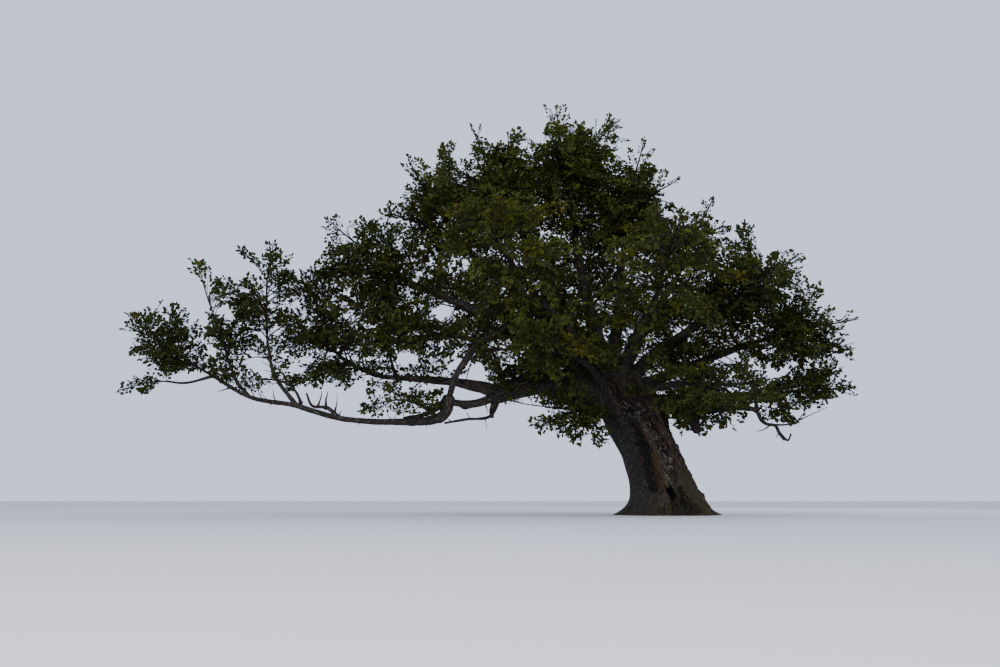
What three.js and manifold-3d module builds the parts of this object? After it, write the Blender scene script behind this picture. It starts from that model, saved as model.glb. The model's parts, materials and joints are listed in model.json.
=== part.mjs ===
// An old wind-shaped beech: a short leaning trunk with a root flare, a fan of limbs from its head,
// one long limb that sags to the left, and a dome of foliage that trails off down the wind.
// Units are millimetres. +Z is up, +X is to the right of the view, and +Y is away from the viewer.
// The origin is on the flat cut under the trunk, at ground level.

import * as THREE from "three";
import { mergeVertices } from "three/addons/utils/BufferGeometryUtils.js";
import Module from "manifold-3d";

const wasm = await Module();
wasm.setup();

// Trunk
const TRUNK_SIDES = 24;
const TRUNK_RINGS = 14;
const RINGS_CROWDING = 1.3;

// The trunk up its lean: height, how far its middle has moved along X, and radius
const TRUNK_RISE = [
  { height: 0, shift: 60, radius: 780 },
  { height: 290, shift: 50, radius: 715 },
  { height: 580, shift: -30, radius: 655 },
  { height: 880, shift: -115, radius: 630 },
  { height: 1270, shift: -262, radius: 618 },
  { height: 1670, shift: -460, radius: 635 },
  { height: 1970, shift: -585, radius: 660 },
  { height: 2270, shift: -770, radius: 680 },
  { height: 2580, shift: -960, radius: 690 },
  { height: 2780, shift: -1070, radius: 620 },
  { height: 2920, shift: -1130, radius: 430 },
];

// Each root buttress: its bearing in degrees from +X, how far it stands out, and how high it climbs
const ROOTS = [
  { bearing: 2, reach: 300, climb: 150 },
  { bearing: 60, reach: 310, climb: 330 },
  { bearing: 118, reach: 340, climb: 360 },
  { bearing: 180, reach: 300, climb: 130 },
  { bearing: 236, reach: 300, climb: 330 },
  { bearing: 300, reach: 330, climb: 380 },
];
const ROOT_SHARPNESS = 13;

// Each knot on the trunk: its height, bearing in degrees, how wide it spreads and how far it stands out
const KNOTS = [
  { height: 430, bearing: 350, spread: 200, out: 110 },
  { height: 1060, bearing: 345, spread: 170, out: 70 },
  { height: 1500, bearing: 250, spread: 190, out: 60 },
  { height: 1750, bearing: 120, spread: 220, out: 80 },
];

// The rotten hollow low on the front of the trunk
const HOLLOW = { centre: [-20, -730, 520], radius: 95 };

// Clear gaps: between touching pieces, and between a leaf and any limb
const CLEARANCE = 0.3;
const LEAF_CLEARANCE = 45;

// Limbs
const LIMB_STEP = 560;
const LIMB_TAPER = 1.4;
const THICK_LIMB = 130;
const THICK_SIDES = 8;
const THIN_SIDES = 6;

// The space of a mass: how blunt its ends are, how much slimmer its foot is, how far past its edge a
// leaf may reach and how far it keeps from the next space, as shares of its girth
const BLUNTNESS = 2.1;
const NARROWING = 0.12;
const SPACE_EDGE = 1.06;
const SPACE_MARGIN = 0.05;

// Growing rule: the stem
const STEM_SIDES = 3;
const STEM_STEPS = 3;
const STEM_FOOT_SHARE = 0.8;
const STEM_TIP_RADIUS = 12;
const STEM_LEAD = 0.3;

// Growing rule: twigs. Places along the stem, and reach, are shares of its length and girth.
const GOLDEN_ANGLE = THREE.MathUtils.degToRad(137.5);
const TURN_SPREAD = 0.6;
const TWIG_GAP = 270;
const FEWEST_TWIGS = 5;
const MOST_TWIGS = 8;
const TWIG_RADIUS = 32;
const TWIG_SHARE = 0.75;
const TWIGS_START = 0.14;
const TWIGS_END = 0.84;
const TWIG_LEAD = 0.16;
const TWIGS_REACH = 0.93;
const SURFACE = 0.98;

// Growing rule: leaves. Widths and thicknesses are shares of a leaf's length.
const LEAVES_A_TWIG = 2;
const LAST_LEAF = 0.93;
const LEAF_ANGLE = THREE.MathUtils.degToRad(68);
const LEAF_ROLL = THREE.MathUtils.degToRad(60);
const ROLL_SPREAD = 0.6;
const LEAF_LENGTHS = { share: 0.5, least: 330, most: 1300 };
const LEAF_SPREAD = 0.3;
const LEAF_SHARE = 0.8;
const TIP_LEAF = 0.8;
const LEAF_WIDTH = 0.8;
const LEAF_WIDEST = 0.44;
const LEAF_THICKNESS = 0.03;

// Sizes that are tried in turn until a twig or leaf fits, and where along it the fit is tested
const SIZE_TRIES = [1, 0.8, 0.64, 0.5];
const PROBES = [0.12, 0.4, 0.7, 1];

// Materials
const BARK = { color: 0x5b5148, roughness: 0.95, metalness: 0 };
const DEAD_WOOD = { color: 0x4a4139, roughness: 0.95, metalness: 0 };
const LEAF_GREEN = { color: 0x3d4a1c, roughness: 0.7, metalness: 0 };
const LEAF_YELLOW = { color: 0x6b6a1e, roughness: 0.7, metalness: 0 };

// Every limb: what it leaves (a limb and how far along it, or the trunk and a foot inside its head),
// the points it then passes, and its radius at the foot and at the tip.
const LIMBS = [
  {
    name: "left_limb",
    foot: [-1120, -50, 2330],
    route: [[-2250, -150, 2610], [-3270, -300, 2370]],
    girth: [400, 180],
  },
  {
    name: "sagging_limb_arch",
    foot: [-1200, -150, 2700],
    route: [[-2750, -900, 3650], [-3810, -1000, 3180]],
    girth: [190, 115],
  },
  {
    name: "sagging_limb_drop",
    from: "sagging_limb_arch",
    at: 0.96,
    route: [[-4080, -950, 2640], [-4240, -860, 2130]],
    girth: [110, 88],
  },
  {
    name: "low_bough",
    from: "sagging_limb_drop",
    at: 0.93,
    route: [[-4500, -900, 1840], [-5300, -900, 1740], [-6310, -800, 1825], [-7290, -600, 2130]],
    girth: [175, 64],
  },
  {
    name: "low_bough_end",
    from: "low_bough",
    at: 0.985,
    route: [[-8160, -400, 2290], [-9030, -200, 2770]],
    girth: [68, 42],
  },
  {
    name: "lower_prong",
    from: "left_limb",
    at: 0.94,
    route: [[-3720, -500, 2150], [-4200, -800, 2150]],
    girth: [100, 68],
  },
  {
    name: "upper_prong",
    from: "left_limb",
    at: 0.96,
    route: [[-4040, -100, 2605], [-5550, 100, 2750]],
    girth: [130, 50],
  },
  {
    name: "hanging_twig",
    from: "left_limb",
    at: 0.97,
    route: [[-3420, -420, 1960], [-3900, -640, 1890], [-4290, -840, 1790]],
    girth: [48, 24],
    dead: true,
  },
  {
    name: "dead_fork",
    from: "low_bough",
    at: 0.7,
    route: [[-6560, -780, 2040], [-6870, -720, 2090], [-6990, -700, 2330]],
    girth: [42, 20],
    dead: true,
  },
  {
    name: "far_tip_bough",
    from: "low_bough_end",
    at: 0.96,
    route: [[-9500, -200, 2595], [-9940, -100, 2640]],
    girth: [32, 20],
  },
  {
    name: "inner_left_bough",
    from: "low_bough_end",
    at: 0.5,
    route: [[-8480, -300, 2640], [-8590, -400, 2960]],
    girth: [42, 28],
  },
  {
    name: "left_peak_bough",
    from: "low_bough",
    at: 0.97,
    route: [[-7680, -500, 2735], [-7820, -500, 3300]],
    girth: [54, 36],
  },
  {
    name: "low_spray_bough",
    from: "low_bough",
    at: 0.14,
    route: [[-4750, -1080, 2080], [-4950, -1150, 2140]],
    girth: [40, 24],
  },
  {
    name: "left_rising_bough",
    from: "sagging_limb_arch",
    at: 0.62,
    route: [[-3900, -500, 4100], [-4850, 0, 4600]],
    girth: [100, 60],
  },
  {
    name: "left_layer_bough",
    from: "sagging_limb_arch",
    at: 0.93,
    route: [[-3930, -700, 3420], [-4180, -550, 3480]],
    girth: [62, 40],
  },
  {
    name: "upper_left_bough",
    foot: [-1280, 0, 2700],
    route: [[-2500, 0, 4150], [-3600, -100, 5050]],
    girth: [180, 90],
  },
  {
    name: "top_left_bough",
    foot: [-1200, 150, 2750],
    route: [[-1900, 150, 4100], [-2550, 50, 5300]],
    girth: [170, 85],
  },
  {
    name: "top_bough",
    foot: [-1100, 0, 2780],
    route: [[-1400, 0, 4100], [-1620, 0, 5250]],
    girth: [180, 90],
  },
  {
    name: "top_right_bough",
    foot: [-980, 120, 2750],
    route: [[-820, 200, 3900], [-760, 100, 4850]],
    girth: [165, 80],
  },
  {
    name: "right_upper_bough",
    foot: [-880, -20, 2680],
    route: [[-350, 0, 3600], [120, 0, 4350]],
    girth: [150, 75],
  },
  {
    name: "right_shoulder_bough",
    foot: [-780, 60, 2560],
    route: [[200, 100, 3400], [1000, 0, 3950]],
    girth: [150, 70],
  },
  {
    name: "right_far_bough",
    foot: [-680, 0, 2420],
    route: [[700, 100, 3000], [1850, 0, 3420]],
    girth: [135, 60],
  },
  {
    name: "right_low_bough",
    foot: [-560, 160, 2250],
    route: [[900, 200, 2340], [2000, 100, 2400]],
    girth: [125, 55],
  },
  {
    name: "dead_hook_bough",
    foot: [-420, -150, 2150],
    route: [[820, -300, 2040], [1750, -400, 2030], [2060, -400, 1730], [2360, -400, 1450]],
    girth: [140, 22],
    dead: true,
  },
  {
    name: "hanging_stub",
    from: "dead_hook_bough",
    at: 0.36,
    route: [[600, -310, 1800], [650, -320, 1610]],
    girth: [110, 62],
    dead: true,
  },
  {
    name: "skirt_bough",
    foot: [-1150, -400, 2300],
    route: [[-1400, -620, 2220], [-1500, -700, 2150]],
    girth: [60, 34],
  },
  {
    name: "front_left_bough",
    foot: [-1150, -250, 2600],
    route: [[-1950, -1300, 3500], [-2450, -1800, 3900]],
    girth: [140, 75],
  },
  {
    name: "front_right_bough",
    foot: [-900, -250, 2560],
    route: [[-700, -1300, 3250], [-550, -1900, 3600]],
    girth: [140, 75],
  },
  {
    name: "front_low_left_bough",
    foot: [-1180, -320, 2480],
    route: [[-1500, -1050, 2800], [-1750, -1400, 2900]],
    girth: [95, 55],
  },
  {
    name: "front_low_right_bough",
    foot: [-680, -300, 2280],
    route: [[-100, -950, 2450], [250, -1250, 2460]],
    girth: [95, 55],
  },
  {
    name: "back_left_bough",
    foot: [-1180, 300, 2600],
    route: [[-2300, 1300, 3500], [-3100, 1700, 3900]],
    girth: [150, 75],
  },
  {
    name: "back_top_bough",
    foot: [-1080, 300, 2700],
    route: [[-1150, 1100, 3700], [-1200, 1600, 4300]],
    girth: [150, 75],
  },
  {
    name: "back_right_bough",
    foot: [-880, 300, 2500],
    route: [[-100, 1150, 3250], [450, 1500, 3550]],
    girth: [140, 70],
  },
  {
    name: "back_low_bough",
    foot: [-800, 380, 2250],
    route: [[-800, 1300, 2500], [-850, 1700, 2560]],
    girth: [110, 60],
  },
];

// Every mass of foliage: the limb whose tip carries it, the tip it reaches, and the half breadth
// (level, across its axis) and half height (upright, across its axis) of its space.
const MASSES = [
  {
    name: "far_tip_leaves",
    limb: "far_tip_bough",
    tip: [-10790, 0, 2500],
    breadth: 300,
    height: 230,
  },
  {
    name: "far_left_leaves",
    limb: "low_bough_end",
    tip: [-10840, 50, 3870],
    breadth: 820,
    height: 720,
  },
  {
    name: "inner_left_leaves",
    limb: "inner_left_bough",
    tip: [-9280, -600, 4980],
    breadth: 560,
    height: 420,
  },
  {
    name: "left_peak_leaves",
    limb: "left_peak_bough",
    tip: [-7850, -300, 5450],
    breadth: 850,
    height: 680,
  },
  {
    name: "left_hanging_leaves",
    limb: "upper_prong",
    tip: [-7680, 450, 4200],
    breadth: 1300,
    height: 1000,
  },
  {
    name: "low_spray_leaves",
    limb: "low_spray_bough",
    tip: [-6030, -1250, 2080],
    breadth: 500,
    height: 280,
  },
  {
    name: "left_layer_leaves",
    limb: "left_layer_bough",
    tip: [-5800, -600, 3350],
    breadth: 950,
    height: 540,
  },
  {
    name: "left_shoulder_leaves",
    limb: "left_rising_bough",
    tip: [-6830, 0, 6050],
    breadth: 1550,
    height: 1200,
  },
  {
    name: "upper_left_leaves",
    limb: "upper_left_bough",
    tip: [-5150, -200, 7300],
    breadth: 1750,
    height: 1150,
  },
  {
    name: "top_left_leaves",
    limb: "top_left_bough",
    tip: [-3850, 0, 8080],
    breadth: 1800,
    height: 1100,
  },
  {
    name: "top_leaves",
    limb: "top_bough",
    tip: [-2050, 0, 8500],
    breadth: 1900,
    height: 1200,
  },
  {
    name: "top_right_leaves",
    limb: "top_right_bough",
    tip: [-200, 0, 7780],
    breadth: 1800,
    height: 1080,
  },
  {
    name: "right_upper_leaves",
    limb: "right_upper_bough",
    tip: [1200, 0, 6480],
    breadth: 1750,
    height: 980,
  },
  {
    name: "right_shoulder_leaves",
    limb: "right_shoulder_bough",
    tip: [2920, 0, 5280],
    breadth: 1650,
    height: 930,
  },
  {
    name: "right_far_leaves",
    limb: "right_far_bough",
    tip: [4070, 0, 3930],
    breadth: 1400,
    height: 800,
  },
  {
    name: "right_low_leaves",
    limb: "right_low_bough",
    tip: [3850, 0, 2540],
    breadth: 1250,
    height: 520,
  },
  {
    name: "skirt_leaves",
    limb: "skirt_bough",
    tip: [-2530, -900, 1660],
    breadth: 750,
    height: 460,
  },
  {
    name: "front_left_leaves",
    limb: "front_left_bough",
    tip: [-3800, -3400, 5400],
    breadth: 1600,
    height: 1250,
    sunlit: true,
  },
  {
    name: "front_right_leaves",
    limb: "front_right_bough",
    tip: [-100, -3400, 5200],
    breadth: 1600,
    height: 1250,
  },
  {
    name: "front_low_left_leaves",
    limb: "front_low_left_bough",
    tip: [-2800, -3000, 3100],
    breadth: 1100,
    height: 640,
  },
  {
    name: "front_low_right_leaves",
    limb: "front_low_right_bough",
    tip: [1500, -2600, 2100],
    breadth: 1100,
    height: 560,
  },
  {
    name: "back_left_leaves",
    limb: "back_left_bough",
    tip: [-4900, 3100, 5400],
    breadth: 1700,
    height: 1300,
  },
  {
    name: "back_top_leaves",
    limb: "back_top_bough",
    tip: [-1500, 3400, 6600],
    breadth: 1900,
    height: 1450,
  },
  {
    name: "back_right_leaves",
    limb: "back_right_bough",
    tip: [1700, 3200, 4900],
    breadth: 1700,
    height: 1250,
  },
  {
    name: "back_low_leaves",
    limb: "back_low_bough",
    tip: [-1000, 3900, 3350],
    breadth: 2000,
    height: 900,
  },
];

const UP = new THREE.Vector3(0, 0, 1);
const LENGTHWAYS = new THREE.Vector3(0, 1, 0);

// Geometry to solid and back

function toSolid(geometry) {
  const bare = geometry.clone();
  bare.deleteAttribute("normal");
  bare.deleteAttribute("uv");
  const merged = mergeVertices(bare, 1e-3);
  return new wasm.Manifold(
    new wasm.Mesh({
      numProp: 3,
      vertProperties: new Float32Array(merged.attributes.position.array),
      triVerts: new Uint32Array(merged.index.array),
    }),
  );
}

function toGeometry(solid) {
  const { vertProperties, triVerts } = solid.getMesh();
  const geometry = new THREE.BufferGeometry();
  geometry.setAttribute("position", new THREE.BufferAttribute(vertProperties, 3));
  geometry.setIndex(new THREE.BufferAttribute(triVerts, 1));
  geometry.computeVertexNormals();
  return geometry;
}

// The largest body of a solid, without loose scraps or the shells of sealed hollows.
function mainBody(solid) {
  return solid.decompose().reduce((a, b) => (b.volume() > a.volume() ? b : a));
}

// A round bar bent along a curve, with its radius given by a function of the way along.
function bentBar(curve, radiusAt, sides, steps) {
  const bar = new THREE.CylinderGeometry(1, 1, 1, sides, steps);
  const frames = curve.computeFrenetFrames(steps, false);
  const position = bar.attributes.position;
  for (let i = 0; i < position.count; i += 1) {
    const along = position.getY(i) + 0.5;
    const ring = Math.round(along * steps);
    const radius = radiusAt(along);
    const point = curve.getPointAt(along);
    point.addScaledVector(frames.binormals[ring], position.getX(i) * radius);
    point.addScaledVector(frames.normals[ring], position.getZ(i) * radius);
    position.setXYZ(i, point.x, point.y, point.z);
  }
  return bar;
}

// Trunk

// The curve's x is the lean, its y the girth and its z the height.
const trunkAxis = new THREE.CatmullRomCurve3(
  TRUNK_RISE.map(({ height, shift, radius }) => new THREE.Vector3(shift, radius, height)),
);

// How far the root buttresses stand out at a height and a bearing.
function rootReach(height, bearing) {
  return ROOTS.reduce((reach, root) => {
    const facing = Math.cos((bearing - THREE.MathUtils.degToRad(root.bearing)) / 2) ** 2;
    return reach + root.reach * Math.exp(-height / root.climb) * facing ** ROOT_SHARPNESS;
  }, 0);
}

// How far the knots stand out at a height and a bearing on a trunk of some girth.
function knotReach(height, bearing, girth) {
  return KNOTS.reduce((reach, knot) => {
    const turn = Math.abs(bearing - THREE.MathUtils.degToRad(knot.bearing)) % (2 * Math.PI);
    const round = Math.min(turn, 2 * Math.PI - turn) * girth;
    return reach + knot.out * Math.exp(-((height - knot.height) ** 2 + round ** 2) / knot.spread ** 2);
  }, 0);
}

// Rings stay level, so that the foot is one flat cut. They crowd towards the ground, where the flare is.
function trunkSolid(grow) {
  const bar = new THREE.CylinderGeometry(1, 1, 1, TRUNK_SIDES, TRUNK_RINGS);
  const position = bar.attributes.position;
  for (let i = 0; i < position.count; i += 1) {
    const along = (position.getY(i) + 0.5) ** RINGS_CROWDING;
    const { x: shift, y: girth, z: height } = trunkAxis.getPointAt(along);
    const across = Math.hypot(position.getX(i), position.getZ(i));
    const bearing = Math.atan2(-position.getZ(i), position.getX(i));
    const swelling = rootReach(height, bearing) + knotReach(height, bearing, girth);
    const radius = across * (girth + swelling + grow);
    const top = along === 1 ? grow : 0;
    position.setXYZ(i, shift + radius * Math.cos(bearing), radius * Math.sin(bearing), height + top);
  }
  return toSolid(bar);
}

// Limbs

class Limb {
  constructor(spec, parent) {
    this.name = spec.name;
    this.dead = Boolean(spec.dead);
    this.girth = spec.girth;
    const foot = parent ? parent.curve.getPointAt(spec.at) : new THREE.Vector3(...spec.foot);
    const points = [foot, ...spec.route.map((point) => new THREE.Vector3(...point))];
    this.curve = new THREE.CatmullRomCurve3(points, false, "centripetal");
    this.length = this.curve.getLength();
    this.tip = this.curve.getPointAt(1);
    this.heading = this.curve.getTangentAt(1);
    this.steps = THREE.MathUtils.clamp(Math.round(this.length / LIMB_STEP), 3, 9);
    this.sides = this.girth[0] > THICK_LIMB ? THICK_SIDES : THIN_SIDES;
    this.samples = this.curve.getSpacedPoints(this.steps * 4);
  }

  radiusAt(along) {
    return this.girth[1] + (this.girth[0] - this.girth[1]) * (1 - along) ** LIMB_TAPER;
  }

  solid(grow) {
    const bar = bentBar(this.curve, (along) => this.radiusAt(along) + grow, this.sides, this.steps);
    const position = bar.attributes.position;
    for (let i = 0; i < position.count; i += 1) {
      const point = new THREE.Vector3().fromBufferAttribute(position, i);
      if (point.clone().sub(this.tip).dot(this.heading) > -1e-3) {
        point.addScaledVector(this.heading, grow);
        position.setXYZ(i, point.x, point.y, point.z);
      }
    }
    return toSolid(bar);
  }

  // How far a point is outside the limb's surface.
  gap(point) {
    let least = Infinity;
    const last = this.samples.length - 1;
    for (let i = 0; i < last; i += 1) {
      const line = new THREE.Line3(this.samples[i], this.samples[i + 1]);
      const part = line.closestPointToPointParameter(point, true);
      const radius = this.radiusAt((i + part) / last);
      least = Math.min(least, line.at(part, new THREE.Vector3()).distanceTo(point) - radius);
    }
    return least;
  }
}

const limbs = new Map();
for (const spec of LIMBS) {
  limbs.set(spec.name, new Limb(spec, limbs.get(spec.from)));
}

// Each limb is cut clear of the trunk and of the limbs made before it.
function limbSolids() {
  const grown = [trunkSolid(CLEARANCE)];
  const solids = new Map();
  for (const [name, limb] of limbs) {
    const cut = grown.reduce((body, neighbour) => body.subtract(neighbour), limb.solid(0));
    solids.set(name, mainBody(cut));
    grown.push(limb.solid(CLEARANCE));
  }
  return solids;
}

// Foliage

// Repeatable random numbers from 0 to 1, seeded by a name.
function seededRandom(name) {
  let state = [...name].reduce((sum, letter) => (sum * 31 + letter.charCodeAt(0)) >>> 0, 7);
  return () => {
    state = (state + 0x6d2b79f5) >>> 0;
    let mixed = Math.imul(state ^ (state >>> 15), state | 1);
    mixed ^= mixed + Math.imul(mixed ^ (mixed >>> 7), mixed | 61);
    return ((mixed ^ (mixed >>> 14)) >>> 0) / 4294967296;
  };
}

// A random number round 1.
function spread(random, width) {
  return 1 + (random() - 0.5) * width;
}

// The space of one mass is an egg round its axis, from the limb's tip to the tip it reaches.
class Mass {
  constructor(spec) {
    const limb = limbs.get(spec.limb);
    this.name = spec.name;
    this.sunlit = Boolean(spec.sunlit);
    this.base = limb.tip.clone().addScaledVector(limb.heading, CLEARANCE);
    this.tip = new THREE.Vector3(...spec.tip);
    this.length = this.base.distanceTo(this.tip);
    this.axis = this.tip.clone().sub(this.base).normalize();
    this.across = new THREE.Vector3().crossVectors(UP, this.axis).normalize();
    this.lift = new THREE.Vector3().crossVectors(this.axis, this.across).normalize();
    this.breadth = spec.breadth;
    this.height = spec.height;
    this.stemRadius = limb.girth[1] * STEM_FOOT_SHARE;
    const lead = this.base.clone().addScaledVector(limb.heading, this.length * STEM_LEAD);
    this.stem = new THREE.QuadraticBezierCurve3(this.base, lead, this.tip);
    this.random = seededRandom(spec.name);
  }

  // The egg's girth along its axis, as a share of its half breadth and half height.
  profile(along) {
    const t = THREE.MathUtils.clamp(along, 0, 1);
    return (1 - Math.abs(2 * t - 1) ** BLUNTNESS) ** (1 / BLUNTNESS) * (1 - NARROWING * (1 - t));
  }

  // 0 on the axis, 1 on the egg's surface, more outside.
  depthOf(point) {
    const out = point.clone().sub(this.base);
    const along = out.dot(this.axis) / this.length;
    if (along <= 0 || along >= 1) return Infinity;
    const across = out.dot(this.across) / this.breadth;
    const lift = out.dot(this.lift) / this.height;
    return Math.hypot(across, lift) / this.profile(along);
  }

  // A point at a share of the axis, a turn round it and a share of the egg's girth there.
  place(along, turn, reach) {
    const out = reach * this.profile(along);
    return this.base
      .clone()
      .addScaledVector(this.axis, along * this.length)
      .addScaledVector(this.across, Math.cos(turn) * out * this.breadth)
      .addScaledVector(this.lift, Math.sin(turn) * out * this.height);
  }

  // True if the point is in this mass's own space, and no nearer to another's axis.
  owns(point, others) {
    const depth = this.depthOf(point);
    if (depth > SPACE_EDGE) return false;
    return others.every((other) => depth < other.depthOf(point) - SPACE_MARGIN);
  }
}

const masses = MASSES.map((spec) => new Mass(spec));

// Points spread over a straight piece, along its middle and both edges.
function probes(root, end, side, width) {
  const found = [];
  for (const along of PROBES) {
    const middle = root.clone().lerp(end, along);
    const half = along === 1 ? 0 : width / 2;
    for (const share of [0, half, -half]) {
      found.push(middle.clone().addScaledVector(side, share));
    }
  }
  return found;
}

function isClear(points, mass, others) {
  return points.every(
    (point) =>
      mass.owns(point, others) &&
      point.z > LEAF_CLEARANCE &&
      [...limbs.values()].every((limb) => limb.gap(point) > LEAF_CLEARANCE),
  );
}

// A leaf that stands for a spray: a blade of eight faces, widest a little before its middle.
function leafSolid(root, heading, side, length) {
  const flat = new THREE.Vector3().crossVectors(side, heading).normalize();
  const blade = new THREE.OctahedronGeometry(1, 0);
  blade.scale((length * LEAF_WIDTH) / 2, length / 2, length * LEAF_THICKNESS);
  blade.translate(0, length / 2, 0);
  const position = blade.attributes.position;
  for (let i = 0; i < position.count; i += 1) {
    const isMiddle = Math.abs(position.getY(i) - length / 2) < 1;
    position.setY(i, isMiddle ? length * LEAF_WIDEST : position.getY(i));
  }
  blade.applyMatrix4(new THREE.Matrix4().makeBasis(side, heading, flat).setPosition(root));
  return toSolid(blade);
}

// A straight twig that runs to a point.
function twigSolid(root, tip, radius) {
  const heading = tip.clone().sub(root);
  const cone = new THREE.ConeGeometry(radius, heading.length(), STEM_SIDES);
  cone.translate(0, heading.length() / 2, 0);
  const turn = new THREE.Quaternion().setFromUnitVectors(LENGTHWAYS, heading.normalize());
  cone.applyQuaternion(turn);
  cone.translate(root.x, root.y, root.z);
  return toSolid(cone);
}

// The direction across a blade that lies level, then rolled about its length.
function rolledSide(heading, roll) {
  return new THREE.Vector3().crossVectors(heading, UP).normalize().applyAxisAngle(heading, roll);
}

const finished = [];

// Grows one mass: a stem to its tip, twigs round the stem at the golden angle, leaves along each twig.
// A twig is as long as leaves its last leaf room to reach the egg's surface. What doesn't fit is tried
// smaller, then left out.
function massSolid(mass) {
  const others = masses.filter((other) => other !== mass);
  const stemRadiusAt = (along) => THREE.MathUtils.lerp(mass.stemRadius, STEM_TIP_RADIUS, along);
  const stem = toSolid(bentBar(mass.stem, stemRadiusAt, STEM_SIDES, STEM_STEPS));
  const bodies = [stem];
  const { share, least, most } = LEAF_LENGTHS;
  const usual = THREE.MathUtils.clamp(mass.length * share, least, most);
  const twigCount = THREE.MathUtils.clamp(Math.round(mass.length / TWIG_GAP), FEWEST_TWIGS, MOST_TWIGS);
  const add = (body, carrier) => {
    const near = [...finished, ...bodies].filter((other) => other !== carrier);
    if (near.some((other) => !other.intersect(body).isEmpty())) return false;
    bodies.push(body);
    return true;
  };
  const addLeaf = (root, heading, roll, full, twig) =>
    SIZE_TRIES.some((size) => {
      const length = full * size;
      const side = rolledSide(heading, roll);
      const end = root.clone().addScaledVector(heading, length);
      if (!isClear(probes(root, end, side, length * LEAF_WIDTH), mass, others)) return false;
      return add(leafSolid(root, heading, side, length), twig);
    });
  for (let i = 0; i < twigCount; i += 1) {
    const along = THREE.MathUtils.lerp(TWIGS_START, TWIGS_END, i / (twigCount - 1));
    const turn = i * GOLDEN_ANGLE + (mass.random() - 0.5) * TURN_SPREAD;
    const root = mass.stem.getPoint(along);
    const surface = mass.place(Math.min(TWIGS_REACH, along + TWIG_LEAD), turn, SURFACE);
    const span = root.distanceTo(surface);
    const heading = surface.clone().sub(root).normalize();
    const leaf = Math.min(usual * spread(mass.random, LEAF_SPREAD), span * LEAF_SHARE);
    const size = SIZE_TRIES.find((part) => {
      const end = root.clone().addScaledVector(heading, (span - leaf) * part);
      return isClear(probes(root, end, UP, TWIG_RADIUS).slice(3), mass, others);
    });
    if (!size) continue;
    const target = root.clone().addScaledVector(heading, (span - leaf) * size);
    const twig = twigSolid(root, target, Math.min(TWIG_RADIUS, TWIG_SHARE * stemRadiusAt(along)));
    if (!add(twig, stem)) continue;
    for (let k = 1; k <= LEAVES_A_TWIG; k += 1) {
      const isLast = k === LEAVES_A_TWIG;
      const place = root.clone().lerp(target, isLast ? LAST_LEAF : k / LEAVES_A_TWIG);
      const hand = (i + k) % 2 ? 1 : -1;
      const roll = hand * LEAF_ROLL * spread(mass.random, ROLL_SPREAD);
      addLeaf(place, heading.clone().applyAxisAngle(UP, isLast ? 0 : hand * LEAF_ANGLE), roll, leaf, twig);
    }
  }
  const tipLength = usual * TIP_LEAF;
  const tipHeading = mass.stem.getTangent(1);
  const tipRoot = mass.tip.clone().addScaledVector(tipHeading, -tipLength);
  bodies.push(leafSolid(tipRoot, tipHeading, rolledSide(tipHeading, LEAF_ROLL), tipLength));
  const whole = mainBody(bodies.reduce((sum, body) => sum.add(body)));
  finished.push(whole);
  return whole;
}

// Assembly

function piece(name, solid, look) {
  const mesh = new THREE.Mesh(toGeometry(solid), new THREE.MeshStandardMaterial(look));
  mesh.name = name;
  return mesh;
}

const tree = new THREE.Group();
const hollow = toSolid(new THREE.IcosahedronGeometry(HOLLOW.radius, 1).translate(...HOLLOW.centre));
tree.add(piece("trunk", trunkSolid(0).subtract(hollow), BARK));
for (const [name, solid] of limbSolids()) {
  tree.add(piece(name, solid, limbs.get(name).dead ? DEAD_WOOD : BARK));
}
for (const mass of masses) {
  tree.add(piece(mass.name, massSolid(mass), mass.sunlit ? LEAF_YELLOW : LEAF_GREEN));
}

export default tree;
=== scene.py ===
"""An old wind-shaped beech: bark, boughs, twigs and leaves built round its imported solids.

Lengths are in metres. +Z is up, +X is to the right of the view, +Y is away from the viewer, and the
origin is on the flat cut under the trunk, at ground level.
"""

import json
import logging
import math
from dataclasses import dataclass, field
from enum import Enum

import bmesh
import bpy
import numpy as np
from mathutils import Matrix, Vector, noise

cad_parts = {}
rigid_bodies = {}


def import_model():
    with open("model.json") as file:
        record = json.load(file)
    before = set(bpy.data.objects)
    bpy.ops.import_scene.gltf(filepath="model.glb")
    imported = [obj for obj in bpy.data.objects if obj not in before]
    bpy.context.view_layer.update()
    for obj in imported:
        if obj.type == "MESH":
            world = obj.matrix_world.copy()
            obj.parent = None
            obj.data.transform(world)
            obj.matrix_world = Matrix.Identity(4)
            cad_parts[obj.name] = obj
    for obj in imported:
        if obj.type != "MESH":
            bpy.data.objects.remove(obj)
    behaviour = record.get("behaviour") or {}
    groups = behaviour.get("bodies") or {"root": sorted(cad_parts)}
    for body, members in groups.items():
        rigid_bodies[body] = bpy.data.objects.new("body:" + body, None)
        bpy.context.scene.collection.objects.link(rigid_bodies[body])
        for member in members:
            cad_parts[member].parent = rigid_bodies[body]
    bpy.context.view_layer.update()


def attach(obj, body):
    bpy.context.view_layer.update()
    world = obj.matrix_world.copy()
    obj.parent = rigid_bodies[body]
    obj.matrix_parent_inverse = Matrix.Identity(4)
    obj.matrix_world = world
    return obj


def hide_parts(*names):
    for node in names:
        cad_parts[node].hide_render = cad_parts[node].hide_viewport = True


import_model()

log = logging.getLogger("beech")
MM = 0.001
UP = np.array([0.0, 0.0, 1.0])
GOLDEN_ANGLE = math.radians(137.5)
FULL_TURN = 2 * math.pi

Point = tuple[float, float, float]
Colour = tuple[float, float, float, float]

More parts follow.
